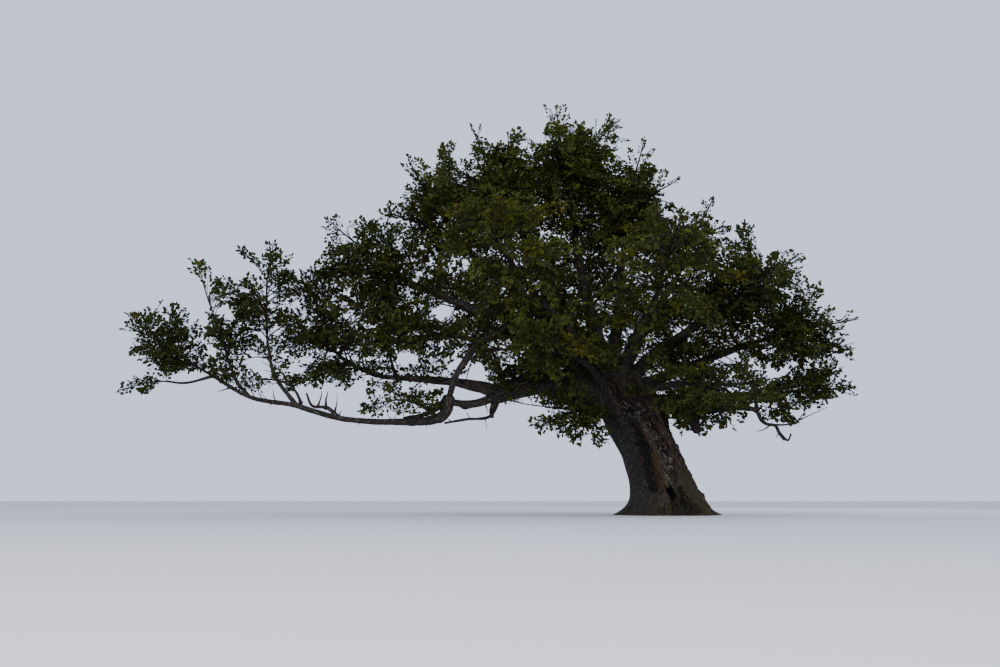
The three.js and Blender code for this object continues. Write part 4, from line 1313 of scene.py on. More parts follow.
@dataclass
class Limb:
    """One tapering limb with its collar, swellings and bark."""

    plan: LimbPlan
    parent: "Limb | None" = None
    dome_rings: int = 4
    dome: float = 0.7
    side_width: float = 0.032
    ring_gap: float = 0.042
    collar_reach: float = 1.7
    dead_bumps: float = 1.6
    burr_gap: float = 0.55
    line: BentLine = field(init=False)

    def __post_init__(self) -> None:
        """Draws the limb's line."""
        if self.parent is None:
            foot = np.array(self.plan.foot) * MM
        else:
            foot = self.parent.line.point(self.plan.at)
        self.line = BentLine([foot, *(np.array(point) * MM for point in self.plan.route)])

    def radius(self, share: np.ndarray | float) -> np.ndarray:
        """Returns the limb's radius at a share of its length, without its swellings."""
        foot, tip = (value * MM for value in self.plan.girth)
        return tip + (foot - tip) * (1 - np.asarray(share, float)) ** self.plan.taper

    def build(self) -> bpy.types.Object:
        """Builds the limb's bark.

        Returns:
            The piece, closed by a dome at both ends.
        """
        foot, tip = (value * MM for value in self.plan.girth)
        sides = int(np.clip(round(FULL_TURN * foot / self.side_width), 12, 44))
        length = self.line.length
        rings = int(np.clip(round(length / self.ring_gap), 14, 110))
        cap = self.dome_rings
        total = rings + 2 * cap
        piece = round_tube(f"{self.plan.name}_bark", sides, total)
        ring, turn = tube_rings(piece, total)
        which = np.clip(ring - cap, 0, rings)
        share = which / rings
        before = np.clip((cap - ring) / cap, 0, 1)
        after = np.clip((ring - rings - cap) / cap, 0, 1)
        every = np.linspace(0, 1, rings + 1)
        across, rise = carried_frames(self.line.heading(every))
        middle = self.line.point(every)[which]
        heading = self.line.heading(every)[which]
        out = np.cos(turn)[:, None] * across[which] + np.sin(turn)[:, None] * rise[which]
        radius = self.radius(share)
        travel = share * length
        collar = 1 + self.collar() * np.exp(-travel / (self.collar_reach * foot))
        seed = float(sum(map(ord, self.plan.name)) % 97)
        lively = self.dead_bumps if self.plan.wood is Wood.DEAD else 1.0
        places = middle + out * radius[:, None]
        bumps = np.array([self.bumps(place, float(size), seed) for place, size in zip(places, radius)])
        swell = self.swellings(travel, turn, foot, seed)
        closing = np.cos((before + after) * math.pi / 2 * 0.94)
        radius = radius * collar * (1 + lively * bumps + swell) * closing
        dome = self.dome * (tip * np.sin(after * math.pi / 2) - foot * np.sin(before * math.pi / 2))
        place_vertices(piece, middle + out * radius[:, None] + heading * dome[:, None])
        flat = radius * np.cos(turn), radius * np.sin(turn), travel + dome + seed
        lay_grain(piece, np.stack(flat, axis=-1))
        return piece

    def collar(self) -> float:
        """Returns how far the foot swells out where it leaves the trunk or a thicker limb."""
        foot = self.plan.girth[0] * MM
        if self.parent is None:
            return 0.4 * min(1.0, 0.16 / foot) ** 2
        carrier = float(self.parent.radius(self.plan.at))
        return 0.35 if foot < 0.75 * carrier else 0.04

    @staticmethod
    def bumps(place: np.ndarray, size: float, seed: float) -> float:
        """Returns how far the bark stands out at a place, as a share of the radius."""
        coarse = noise.noise(Vector(place * 3.4 + seed)) * 0.17
        ridged = (0.5 - abs(noise.noise(Vector((place[0] * 8, place[1] * 8, place[2] * 8 + seed))))) * 0.10
        fine = noise.fractal(Vector(place * 24 + seed), 0.9, 2.1, 3) * 0.035
        return coarse + ridged + fine * min(1.0, 0.09 / size)

    def swellings(self, travel: np.ndarray, turn: np.ndarray, foot: float, seed: float) -> np.ndarray:
        """Returns the burrs and old branch scars along the limb, as a share of the radius."""
        draw = np.random.default_rng(int(seed * 13 + 5))
        total = np.zeros_like(travel)
        end = travel.max()
        for _ in range(max(2, int(end / self.burr_gap))):
            at = draw.uniform(min(0.25, 0.3 * end), end)
            side = draw.uniform(-math.pi, math.pi)
            wide, high = draw.uniform(0.5, 1.1) * foot, draw.uniform(0.10, 0.42)
            round_it = (1 - np.cos(turn - side)) * foot * 1.6
            total += high * np.exp(-((travel - at) ** 2 + round_it**2) / wide**2)
        return total


# The limbs that carry broken twigs, and how many each
SNAGS = {
    "low_bough": 12, "low_bough_end": 7, "left_limb": 6, "upper_prong": 8, "lower_prong": 3,
    "hanging_twig": 3, "sagging_limb_arch": 5, "sagging_limb_drop": 3, "dead_hook_bough": 8,
    "right_low_bough": 5,
}


@dataclass
class Snags:
    """The short broken twigs that stand on the limbs."""

    reach: tuple[float, float] = (0.06, 0.20)
    girth: tuple[float, float] = (0.007, 0.015)
    narrowing: tuple[float, float, float] = (1.3, 0.8, 0.3)
    knee: float = 0.6
    sides: int = 5

    def build(self, limbs: dict[str, Limb]) -> bpy.types.Object:
        """Builds every snag as one piece.

        Args:
            limbs: The limbs by name.

        Returns:
            The piece, each snag in it a closed bent tube.
        """
        draw = draw_for("snags")
        lines = []
        for name, count in SNAGS.items():
            limb = limbs[name]
            for share in draw.uniform(0.12, 0.96, count):
                heading = limb.line.heading(share)
                out = turned(unit(np.cross(heading, UP)), heading, draw.uniform(-math.pi, math.pi))
                out = unit(out + UP * draw.uniform(-0.1, 0.5) + heading * draw.uniform(-0.2, 0.8))
                length, wide = draw.uniform(*self.reach), draw.uniform(*self.girth)
                root = limb.line.point(share) + out * 0.6 * float(limb.radius(share))
                length += 0.4 * float(limb.radius(share))
                bend = unit(out + draw.normal(0, 0.5, 3))
                knee = root + out * length * self.knee
                tip = knee + bend * length * (1 - self.knee)
                lines.append((np.stack([root, knee, tip]), np.array(self.narrowing) * wide))
        vertices, faces, _, _ = Foliage.tube_arrays(lines, self.sides)
        piece = joined_mesh("snags", vertices, faces, True)
        lay_grain(piece, vertices)
        enrol(piece, Wood.DEAD.value, list(SNAGS))
        return piece


# Foliage


@dataclass(frozen=True)
class SprayRule:
    """How a flat spray of a beech grows: side twigs and leaves by turns on either hand."""

    twig_gap: float = 0.060
    twig_start: float = 0.10
    twig_angle: float = math.radians(50)
    twig_share: float = 0.50
    leaf_gap: float = 0.040
    leaf_length: float = 0.073
    leaf_angle: float = math.radians(46)
    leaf_spread: float = 0.16
    leaf_tilt: float = 0.62
    droop: float = 0.09
    bend: float = 0.12
    last_twig: float = 0.93
    twig_radius: float = 0.0032
    axis_radius: float = 0.0022


class SprayPattern:
    """One flat spray laid out along +X, with +Z above it: its axis, side twigs and leaves."""

    def __init__(self, length: float, rule: SprayRule, draw: np.random.Generator) -> None:
        """Grows the pattern.

        Args:
            length: The spray's length in metres.
            rule: How it grows.
            draw: Its random numbers.
        """
        self.length = length
        self.rule = rule
        self.draw = draw
        bend = draw.uniform(-rule.bend, rule.bend)
        s = np.linspace(0, 1, 3)
        droop = rule.droop * draw.uniform(0.3, 1.5)
        sway = 0.02 * np.sin(s * 5 + draw.uniform(0, 6))
        self.axis = np.stack([s * length, (bend * s**2 + sway) * length, -droop * s**2 * length], axis=-1)
        self.twigs: list[tuple[np.ndarray, np.ndarray]] = []
        self.leaves: list[tuple[np.ndarray, np.ndarray, np.ndarray, float]] = []
        self._grow()
        self.roots, self.headings, self.normals, self.sizes = (np.array(part) for part in zip(*self.leaves))
        self.starts, self.ends = (np.array(part) for part in zip(*self.twigs))

    def _at(self, share: float) -> tuple[np.ndarray, np.ndarray]:
        """Returns the axis's point and heading at a share of its length."""
        s = np.linspace(0, 1, len(self.axis))
        point = np.array([np.interp(share, s, self.axis[:, k]) for k in range(3)])
        k = min(int(share * (len(self.axis) - 1)), len(self.axis) - 2)
        return point, unit(self.axis[k + 1] - self.axis[k])

    def _leaf(self, root: np.ndarray, heading: np.ndarray, size: float) -> None:
        """Adds one leaf, lying roughly in the spray's plane."""
        rule, draw = self.rule, self.draw
        heading = unit(heading + np.array([0, 0, draw.normal(-0.06, 0.5 * rule.leaf_tilt)]))
        normal = np.array([draw.normal(0, rule.leaf_tilt), draw.normal(0, rule.leaf_tilt), 1.0])
        normal = unit(normal - heading * np.dot(normal, heading))
        length = rule.leaf_length * size * max(0.6, 1 + draw.normal(0, rule.leaf_spread))
        self.leaves.append((root, heading, normal, length))

    def _grow(self) -> None:
        """Sets side twigs along the axis, and leaves along each and at its tip."""
        rule, draw = self.rule, self.draw
        count = max(2, round(self.length * (1 - rule.twig_start) / rule.twig_gap))
        for k in range(count):
            step = (k + draw.uniform(-0.25, 0.25)) / count
            share = rule.twig_start + (rule.last_twig - rule.twig_start) * step
            share = min(max(share, 0.03), 0.95)
            root, along = self._at(share)
            hand = 1 if k % 2 else -1
            angle = hand * (rule.twig_angle * (1 - 0.3 * share) + draw.normal(0, 0.09))
            heading = unit(turned(along, UP, angle) + np.array([0, 0, draw.normal(0, 0.14)]))
            swell = min(1.0, (share + 0.30) / 0.55) * (1 - share) ** 0.62
            length = max(0.05, self.length * rule.twig_share * swell * draw.uniform(0.75, 1.2))
            end = root + heading * length
            self.twigs.append((root, end))
            self._dress(root, heading, length, k)
        root, along = self._at(1.0)
        self._leaf(root, along, 1.0)
        for share, hand in ((0.97, 1), (0.93, -1), (0.88, 1)):
            root, along = self._at(share)
            self._leaf(root, turned(along, UP, hand * rule.leaf_angle), 0.95)

    def _dress(self, root: np.ndarray, heading: np.ndarray, length: float, k: int) -> None:
        """Sets leaves by turns along one side twig, and one at its tip."""
        rule, draw = self.rule, self.draw
        place = 0.028 + draw.uniform(0, 0.02)
        hand = 1 if k % 2 else -1
        while place < length - 0.012:
            swing = turned(heading, UP, hand * (rule.leaf_angle + draw.normal(0, 0.14)))
            self._leaf(root + heading * place, swing, 0.82 + 0.18 * min(1, place / 0.12))
            hand = -hand
            place += rule.leaf_gap * draw.uniform(0.8, 1.25)
        self._leaf(root + heading * length, heading, 1.0)


FLAT_RULE = SprayRule()
LEADER_RULE = SprayRule(twig_gap=0.046, twig_start=0.16, twig_share=0.13, leaf_gap=0.034, droop=-0.06)


class SprayBook:
    """Patterns of sprays in several lengths, to be dealt out over the crown."""

    LENGTHS = (0.14, 0.22, 0.32, 0.42, 0.52, 0.62, 0.74)
    EACH = 6

    def __init__(self) -> None:
        """Grows every pattern, the broad ones and the pointed ones."""
        draw = draw_for("sprays")
        self.patterns = {
            (length, pointed): [SprayPattern(length, rule, draw) for _ in range(self.EACH)]
            for length in self.LENGTHS
            for pointed, rule in ((False, FLAT_RULE), (True, LEADER_RULE))
        }

    def pick(self, length: float, draw: np.random.Generator, pointed: bool) -> SprayPattern:
        """Returns one of the patterns nearest to a length, broad or pointed."""
        nearest = min(self.LENGTHS, key=lambda item: abs(item - length))
        return self.patterns[nearest, pointed][draw.integers(self.EACH)]


@dataclass
class Harvest:
    """Everything that the masses grow, gathered for joining."""

    leaves: dict[Tint, list[tuple[np.ndarray, ...]]] = field(default_factory=lambda: {t: [] for t in Tint})
    cones: list[tuple[np.ndarray, np.ndarray, float]] = field(default_factory=list)
    axes: list[tuple[np.ndarray, np.ndarray]] = field(default_factory=list)
    stems: list[tuple[np.ndarray, np.ndarray]] = field(default_factory=list)
    branches: list[tuple[np.ndarray, np.ndarray]] = field(default_factory=list)

    def add_spray(
        self, pattern: SprayPattern, root: np.ndarray, heading: np.ndarray, normal: np.ndarray, tint: Tint
    ) -> None:
        """Adds one spray.

        Args:
            pattern: The spray's pattern.
            root: Where it leaves its twig.
            heading: Its unit heading.
            normal: What is up for it, which is made square to the heading.
            tint: The green of its leaves.
        """
        normal = unit(normal - heading * np.dot(normal, heading))
        basis = np.stack([heading, np.cross(normal, heading), normal])
        self.leaves[tint].append(
            (root + pattern.roots @ basis, pattern.headings @ basis, pattern.normals @ basis, pattern.sizes)
        )
        starts, ends = root + pattern.starts @ basis, root + pattern.ends @ basis
        self.cones.append((starts, ends, pattern.rule.twig_radius))
        thick = 0.0045 + 0.006 * pattern.length
        radii = np.linspace(thick, pattern.rule.axis_radius, len(pattern.axis))
        self.axes.append((root + pattern.axis @ basis, radii))


class Silhouette:
    """The crown's outline and openings as they are seen from in front of the tree."""

    def __init__(self, eye: Point) -> None:
        """Takes the place that the crown is seen from.

        Args:
            eye: The place, in metres.
        """
        self.eye = np.array(eye)
        self.start = np.array(OUTLINE)
        self.run = np.roll(self.start, -1, axis=0) - self.start
        gaps = np.array(OPENINGS)
        self.middles, self.halves = gaps[:, :2], gaps[:, 2:]

    def seen(self, points: np.ndarray) -> np.ndarray:
        """Returns where points, (N, 3), are seen on the plane y = 0, as x and z."""
        rays = points - self.eye
        return (self.eye + rays * (-self.eye[1] / rays[:, 1:2]))[:, [0, 2]]

    def depth(self, points: np.ndarray) -> float:
        """Returns how far inside the outline the outermost of some points is seen, less than 0 outside it."""
        flat = self.seen(points)
        out = flat[:, None] - self.start
        share = np.clip((out * self.run).sum(-1) / (self.run**2).sum(-1), 0, 1)
        far = np.linalg.norm(out - share[..., None] * self.run, axis=-1).min(axis=1)
        low, high = self.start[:, 1], (self.start + self.run)[:, 1]
        level = flat[:, 1:2]
        with np.errstate(divide="ignore", invalid="ignore"):
            across = self.start[:, 0] + (level - low) * self.run[:, 0] / self.run[:, 1]
        passed = ((low > level) != (high > level)) & (flat[:, :1] < across)
        return float(np.where(passed.sum(axis=1) % 2 == 1, far, -far).min())

    def shows_sky(self, points: np.ndarray, share: float) -> bool:
        """Returns whether any of some points is seen in an opening, or in that share of its size."""
        out = (self.seen(points)[:, None] - self.middles) / self.halves
        return bool((np.sum(out**2, axis=-1) < share**2).any())


class Spray(Enum):
    """The kinds of spray: how far outside the crown's outline, and outside its own space, each may reach."""

    FLAT = (-0.03, 0.0)
    STRAY = (0.05, 0.10)
    LEADER = (0.14, 0.40)
    CREST = (9.0, 9.0)

    def __init__(self, beyond: float, slack: float) -> None:
        """Keeps the two distances."""
        self.beyond = beyond
        self.slack = slack


@dataclass
class Grower:
    """Grows leafy shoots from a limb or a stem, inside a space of its own."""

    book: SprayBook
    harvest: Harvest
    clear: "Clearance"
    outline: Silhouette
    branch_points: int = 5
    branch_tip: float = 0.0065
    branch_jag: float = 0.012
    spray_gap: float = 0.092
    spray_start: float = 0.22
    spray_length: tuple[float, float] = (0.26, 0.74)
    last_length: tuple[float, float] = (0.22, 0.6)
    leader_length: tuple[float, float] = (0.38, 0.66)
    short_span: float = 0.4
    shortest: float = 0.13
    stray_share: float = 0.2
    inset: float = 0.06
    lace: float = 0.42
    leader_share: float = 0.55

    def fits(self, points: np.ndarray, slack: float) -> bool:
        """Returns whether points are in the grower's own space, or as little outside it as slack."""
        raise NotImplementedError

    def light_at(self, point: np.ndarray) -> float:
        """Returns how much light a place gets, from 0 in the shaded heart to 1 at the crown's edge."""
        raise NotImplementedError

    def branch(self, root: np.ndarray, leaving: np.ndarray, surface: np.ndarray, thick: float) -> None:
        """Grows one branch that ends in a spray, with more sprays by turns along it.

        Args:
            root: Where it starts.
            leaving: Its unit heading there.
            surface: The point that its last spray reaches.
            thick: Its radius at the root.
        """
        draw = self.draw
        for part in (1.0, 0.84, 0.68, 0.52, 0.36):
            end = root + (surface - root) * part
            if self.outline.depth(end[None]) > self.inset:
                break
        else:
            return
        span = float(np.linalg.norm(end - root))
        out = unit(end - root)
        last = float(np.clip(span * 0.45, *self.last_length))
        if span < self.short_span:
            self.spray(root, out, span)
            return
        end = root + out * (span - last * 0.92)
        line = BentLine.bow(root, root + leaving * span * 0.42, end + UP * draw.normal(0, 0.03), 12)
        share = np.linspace(0, 1, self.branch_points)
        jag = draw.normal(0, self.branch_jag, (len(share), 3)) * np.minimum(share, 0.5)[:, None] * 2
        radii = np.linspace(thick, self.branch_tip, len(share))
        self.harvest.branches.append((line.point(share) + jag, radii))
        self.spray(line.point(1.0), unit(line.heading(1.0) + draw.normal(0, 0.12, 3)), last)
        sprays = max(1, round(line.length * 0.82 / self.spray_gap))
        for k in range(sprays):
            s = min(self.spray_start + 0.76 * (k + 0.5 + draw.uniform(-0.2, 0.2)) / sprays, 0.98)
            heading = line.heading(s)
            hand = 1 if k % 2 else -1
            if abs(heading[2]) > 0.7:
                side = turned(unit(np.cross(heading, [1.0, 0.3, 0.0])), heading, k * GOLDEN_ANGLE)
                aim = unit(heading * 0.75 + side)
            else:
                aim = turned(heading, UP, hand * draw.uniform(0.6, 1.05))
                aim = unit(aim + np.array([0, 0, draw.normal(0.05, 0.3)]))
            shortest, longest = self.spray_length
            length = float(np.clip(shortest + 0.5 * (1 - s) * line.length, shortest, longest))
            self.spray(line.point(s), aim, length * draw.uniform(0.8, 1.15))
        if draw.uniform() < self.leader_share:
            self.leader(line.point(draw.uniform(0.85, 1.0)), line.heading(1.0))

    def leader(self, root: np.ndarray, out: np.ndarray) -> None:
        """Sets one pointed shoot that turns up towards the light and stands out of the crown."""
        aim = unit(out + UP * self.draw.uniform(0.1, 0.7) + self.draw.normal(0, 0.15, 3))
        self.spray(root, aim, self.draw.uniform(*self.leader_length), Spray.LEADER)

    def spray(self, root: np.ndarray, heading: np.ndarray, length: float, kind: Spray = Spray.FLAT) -> None:
        """Sets one spray if it keeps to the space and the outline, or a shorter one if only that does.

        Args:
            root: Where it starts.
            heading: Its unit heading.
            length: Its length in metres.
            kind: Which kind it is.
        """
        draw = self.draw
        steep = abs(float(heading[2]))
        normal = UP + draw.normal(0, 0.42 + 0.25 * steep, 3)
        if steep > 0.8:
            normal = draw.normal(0, 1, 3)
        side = unit(np.cross(normal, heading))
        if kind is Spray.FLAT and draw.uniform() < self.stray_share:
            kind = Spray.STRAY
        pointed = kind in (Spray.LEADER, Spray.CREST)
        wide = 0.10 if pointed else 0.34
        shy = 0.0 if pointed else self.lace * draw.uniform() ** 2
        for part in (1.0, 0.78, 0.6, 0.45):
            reach = length * part
            tip, middle = root + heading * reach, root + heading * 0.5 * reach
            reached = np.stack([tip, middle + side * wide * reach, middle - side * wide * reach])
            if kind is Spray.CREST or (reach > self.shortest and self.has_room(reached, kind, shy)):
                break
        else:
            return
        near_and_far = root + heading * reach * np.array([[0.4], [1.0]])
        if kind is not Spray.CREST and not self.clear.is_clear(near_and_far):
            return
        pattern = self.book.pick(reach, draw, pointed)
        self.harvest.add_spray(pattern, root, heading, normal, self.tint(tip))

    def has_room(self, points: np.ndarray, kind: Spray, shy: float) -> bool:
        """Tells whether a spray keeps to the space, the outline and its openings.

        Args:
            points: The places that the spray reaches.
            kind: Which kind it is.
            shy: How much further inside the outline it has to stay, which leaves the crown's edge lacy.

        Returns:
            Whether it does.
        """
        if not self.fits(points, kind.slack) or self.outline.depth(points) < shy - kind.beyond:
            return False
        return not self.outline.shows_sky(points, 1.15 - shy / self.lace)

    def tint(self, point: np.ndarray) -> Tint:
        """Deals out a green, mostly as painted light and shade: paler towards the top and outside, darkest in
        the heart, yellow as painted sunlight in the sun patches, darker towards the lee end at the left, and
        a random roll among them.
        """
        light = self.light_at(point)
        # Painted sunlight: sprays inside the sun patches are dealt the yellow green
        sun = sum(math.exp(-float(np.sum((point - centre) ** 2)) / size**2) for centre, size in SUN_PATCHES)
        sun = min(1.0, sun)
        # Painted light: sprays high in the crown and far out in their mass get paler greens, those in the
        # heart the darkest
        high = float(np.clip((point[2] - 4.0) / 3.5, 0, 1))
        lee = float(np.clip((-4.8 - point[0]) / 2.4, 0, 1))
        yellow = 0.42 * sun
        green = yellow + (0.06 + 0.12 * light + 0.34 * high) * (1 - lee) + 0.20 * sun
        olive = green + (0.38 + 0.14 * high) * (1 - 0.8 * lee)
        roll = self.draw.uniform()
        if roll < yellow:
            return Tint.YELLOW
        if roll < green:
            return Tint.GREEN
        return Tint.OLIVE if roll < olive else Tint.DEEP


@dataclass
class FoliageMass(Grower):
    """One mass of foliage: a stem from its limb's tip, branches round the stem, and sprays along each."""

    plan: MassPlan | ForkPlan = None
    base: np.ndarray = None
    leaving: np.ndarray = None
    stem_radius: float = 0.05
    bluntness: float = 2.0
    base_bluntness: float = 2.8
    narrowing: float = 0.15
    leader_gap: float = 0.16
    edge: float = 1.10
    leaf_room: float = 0.05
    heart: float = 0.38
    depth_limit: float = 4.0
    stem_points: int = 16
    stem_lead: float = 0.3
    stem_tip: float = 0.009
    branch_gap: float = 0.075
    branch_range: tuple[float, float] = (0.07, 0.94)
    lead: float = 0.16
    crest_sprays: int = 6

    def __post_init__(self) -> None:
        """Works out the mass's space, an egg from its base to the tip that it reaches."""
        self.tip = np.array(self.plan.tip) * MM
        self.length = float(np.linalg.norm(self.tip - self.base))
        self.axis = unit(self.tip - self.base)
        self.across = unit(np.cross(UP, self.axis))
        self.lift = unit(np.cross(self.axis, self.across))
        self.breadth, self.height = self.plan.breadth * MM, self.plan.height * MM
        lead = self.base + self.leaving * self.length * self.stem_lead
        self.stem = BentLine.bow(self.base, lead, self.tip)
        self.draw = draw_for(self.plan.name)

    def stem_here(self, along: float) -> float:
        """Returns the stem's radius at a share of its length."""
        return self.stem_radius + (self.stem_tip - self.stem_radius) * along**0.8

    def profile(self, along: np.ndarray | float) -> np.ndarray:
        """Returns the egg's girth along its axis, as a share of its half breadth and half height."""
        t = np.clip(along, 0, 1)
        blunt = np.where(t < 0.5, self.base_bluntness, self.bluntness)
        return (1 - np.abs(2 * t - 1) ** blunt) ** (1 / blunt) * (1 - self.narrowing * (1 - t))

    def depth(self, points: np.ndarray) -> np.ndarray:
        """Returns 0 for a point on the axis, 1 on the egg's surface and more outside."""
        out = points - self.base
        along = out @ self.axis / self.length
        girth = np.maximum(self.profile(np.minimum(along, 0.97)), 1e-3)
        ratio = np.hypot(out @ self.across / self.breadth, out @ self.lift / self.height) / girth
        return np.where((along <= -0.01) | (along >= 1 + 0.1 / self.length), 9.0, ratio)

    def place(self, along: float, turn: float, reach: float) -> np.ndarray:
        """Returns the point at a share of the axis, a turn round it and a share of the egg's girth."""
        out = reach * float(self.profile(along))
        sideways = self.across * math.cos(turn) * out * self.breadth
        upward = self.lift * math.sin(turn) * out * self.height
        return self.base + self.axis * along * self.length + sideways + upward

    def fits(self, points: np.ndarray, slack: float) -> bool:
        """Returns whether points are in the egg, and the first, a spray's tip, not in its bare heart."""
        depth = self.depth(points)
        if (self.length > 2 and depth[0] < self.heart) or np.abs(points[:, 1]).max() > self.depth_limit:
            return False
        return bool(depth.max() < self.edge + slack - self.leaf_room / self.height)

    def light_at(self, point: np.ndarray) -> float:
        """Returns how far out and up in the egg a place is, from 0 to 1."""
        outer = float(np.clip(self.depth(point), 0, 1))
        return outer * float(np.clip((point - self.base) @ UP / max(self.length, 0.5), 0, 1))

    def grow(self) -> None:
        """Grows the stem, then its branches by the golden angle, and the sprays at its tip."""
        draw = self.draw
        share = np.linspace(0, 1, self.stem_points)
        sway = np.stack([np.sin(share * 7 + k * 2.1) * 0.08 * share * (1 - share) for k in range(3)], axis=-1)
        self.harvest.stems.append((self.stem.point(share) + sway * self.length * 0.6, self.stem_here(share)))
        count = max(7, round(self.length * self.plan.density / self.branch_gap))
        first, last = self.branch_range
        for i in range(count):
            along = first + (last - first) * i / (count - 1)
            turn = i * GOLDEN_ANGLE + draw.uniform(-0.3, 0.3)
            reach = 1.0 if i % 3 else draw.uniform(0.62, 0.88)
            root = self.stem.point(along)
            surface = self.place(min(0.955, along + self.lead), turn, reach)
            leaving = unit(self.stem.heading(along) * 0.7 + unit(surface - root))
            span = float(np.linalg.norm(surface - root))
            self.branch(root, leaving, surface, min(0.75 * self.stem_here(along), 0.006 + 0.012 * span))
        leaders = round(0.5 * self.length / self.leader_gap)
        for k in range(leaders):
            along = 0.5 + 0.5 * (k + draw.uniform(0.2, 0.8)) / leaders
            heading = self.stem.heading(along)
            side = turned(unit(np.cross(heading, UP)), heading, k * GOLDEN_ANGLE)
            self.leader(self.stem.point(along), unit(heading + side * draw.uniform(0.2, 0.6)))
        self.crest()

    def crest(self) -> None:
        """Sets the sprays at the stem's tip, the middle one just reaching the mass's tip."""
        draw = self.draw
        heading = self.stem.heading(1.0)
        length = 0.42 if self.length > 1.5 else 0.32
        self.spray(self.tip - heading * length * 0.98, heading, length, Spray.CREST)
        across = unit(np.cross(heading, UP))
        for k in range(self.crest_sprays):
            side = turned(across, heading, k * 1.6 + draw.uniform(-0.3, 0.3))
            aim = unit(heading + side * draw.uniform(0.25, 0.8))
            kind = Spray.LEADER if k % 2 else Spray.FLAT
            self.spray(self.stem.point(0.80 + 0.03 * k), aim, length * 0.9, kind)


@dataclass
class LimbShoots(Grower):
    """The leafy shoots along a limb, between its bare foot and the mass at its tip."""

    limb: Limb = None
    start: float = 0.35
    sleeve: float = 0.8
    density: float = 1.0
    rise: float = 0.35
    shoot_gap: float = 0.10

    def __post_init__(self) -> None:
        """Takes its random numbers from the limb's name."""
        self.draw = draw_for(self.limb.plan.name)

    def fits(self, points: np.ndarray, slack: float) -> bool:
        """Returns whether points are within the sleeve round the limb."""
        gaps = np.linalg.norm(points[:, None] - self.limb.line.dense[None], axis=-1)
        return bool(gaps.min(axis=1).max() < self.sleeve * (1 + slack))

    def light_at(self, point: np.ndarray) -> float:
        """Returns the light inside the crown, which is the same all along a limb."""
        return 0.2

    def grow(self) -> None:
        """Grows shoots by the golden angle round the limb."""
        draw = self.draw
        line = self.limb.line
        count = round(line.length * (1 - self.start) * self.density / self.shoot_gap)
        for i in range(count):
            share = self.start + (1 - self.start) * (i + 0.5) / count
            heading = line.heading(share)
            across = unit(np.cross(heading, UP + 0.01))
            out = turned(across, heading, i * GOLDEN_ANGLE + draw.uniform(-0.3, 0.3))
            out = unit(out + heading * draw.uniform(0.3, 0.9) + UP * self.rise)
            root = line.point(share)
            span = float(self.limb.radius(share)) + self.sleeve * draw.uniform(0.5, 0.95)
            self.branch(root, unit(out + heading * 0.3), root + out * span, 0.006 + 0.009 * span)


# The limbs that bear leafy shoots: from how far along, how long they are, how many, and how they rise
SHOOTS = {
    "low_bough_end": (0.12, 0.55, 1.7, 0.6),
    "low_bough": (0.04, 0.38, 0.8, 0.9),
    "upper_prong": (0.40, 0.75, 1.0, 0.5),
    "left_rising_bough": (0.15, 0.85, 1.1, 0.2),
    "left_layer_bough": (0.30, 0.60, 1.0, 0.0),
    "sagging_limb_arch": (0.10, 0.70, 1.4, 0.5),
    "upper_left_bough": (0.30, 0.95, 1.1, 0.2),
    "top_left_bough": (0.35, 0.90, 0.8, 0.1),
    "top_bough": (0.35, 0.90, 0.8, 0.1),
    "top_right_bough": (0.35, 0.90, 0.8, 0.1),
    "right_upper_bough": (0.35, 0.90, 0.9, 0.1),
    "right_shoulder_bough": (0.35, 0.90, 1.3, 0.1),
    "right_far_bough": (0.30, 0.85, 1.5, 0.0),
    "right_low_bough": (0.20, 0.75, 1.7, -0.15),
    "front_left_bough": (0.35, 0.90, 0.9, 0.0),
    "front_right_bough": (0.35, 0.90, 0.9, 0.0),
    "front_low_left_bough": (0.35, 0.75, 0.9, 0.0),
    "front_low_right_bough": (0.30, 0.75, 1.0, -0.2),
    "back_left_bough": (0.40, 0.90, 0.7, 0.1),
    "back_top_bough": (0.40, 0.90, 0.7, 0.1),
    "back_right_bough": (0.40, 0.90, 0.7, 0.1),
    "back_low_bough": (0.40, 0.80, 0.7, 0.0),
    "inner_left_bough": (0.20, 0.45, 2.4, 0.3),
    "left_peak_bough": (0.20, 0.45, 2.2, 0.3),
    "left_limb": (0.12, 0.80, 1.9, 1.0),
    "lower_prong": (0.30, 0.30, 0.6, 0.8),
    "far_tip_bough": (0.40, 0.35, 1.4, 0.0),
    "low_spray_bough": (0.10, 0.45, 1.2, 0.1),
}


# Where the low sun lights the crown: the middle of each patch and its size
SUN_PATCHES = [
    (np.array([-2.75, -2.6, 5.0]), 1.0),
    (np.array([0.45, -2.4, 3.8]), 0.75),
    (np.array([-1.5, -2.5, 2.8]), 0.7),
]


class Clearance:
    """Tells whether places are clear of the trunk and the limbs."""

    MARGIN = 0.05
    LOWEST = 0.25
    TRUNK_TOP = 2.9
    TRUNK_POINTS = 30
    LIMB_GAP = 0.08

    def __init__(self, trunk: Trunk, limbs: list[Limb]) -> None:
        """Takes the trunk and the limbs, as points with a radius each."""
        height = np.linspace(0.0, self.TRUNK_TOP, self.TRUNK_POINTS)
        places = [np.stack([trunk.shift(height), np.zeros_like(height), height], axis=-1)]
        radii = [trunk.girth(height)]
        for limb in limbs:
            share = np.linspace(0, 0.97, max(6, int(limb.line.length / self.LIMB_GAP)))
            places.append(limb.line.point(share))
            radii.append(limb.radius(share))
        self.places, self.radii = np.vstack(places), np.concatenate(radii)

    def is_clear(self, points: np.ndarray) -> bool:
        """Returns whether every point is clear of wood and above the ground."""
        gaps = np.linalg.norm(points[:, None] - self.places[None], axis=-1) - self.radii
        return bool(gaps.min() > self.MARGIN and points[:, 2].min() > self.LOWEST)


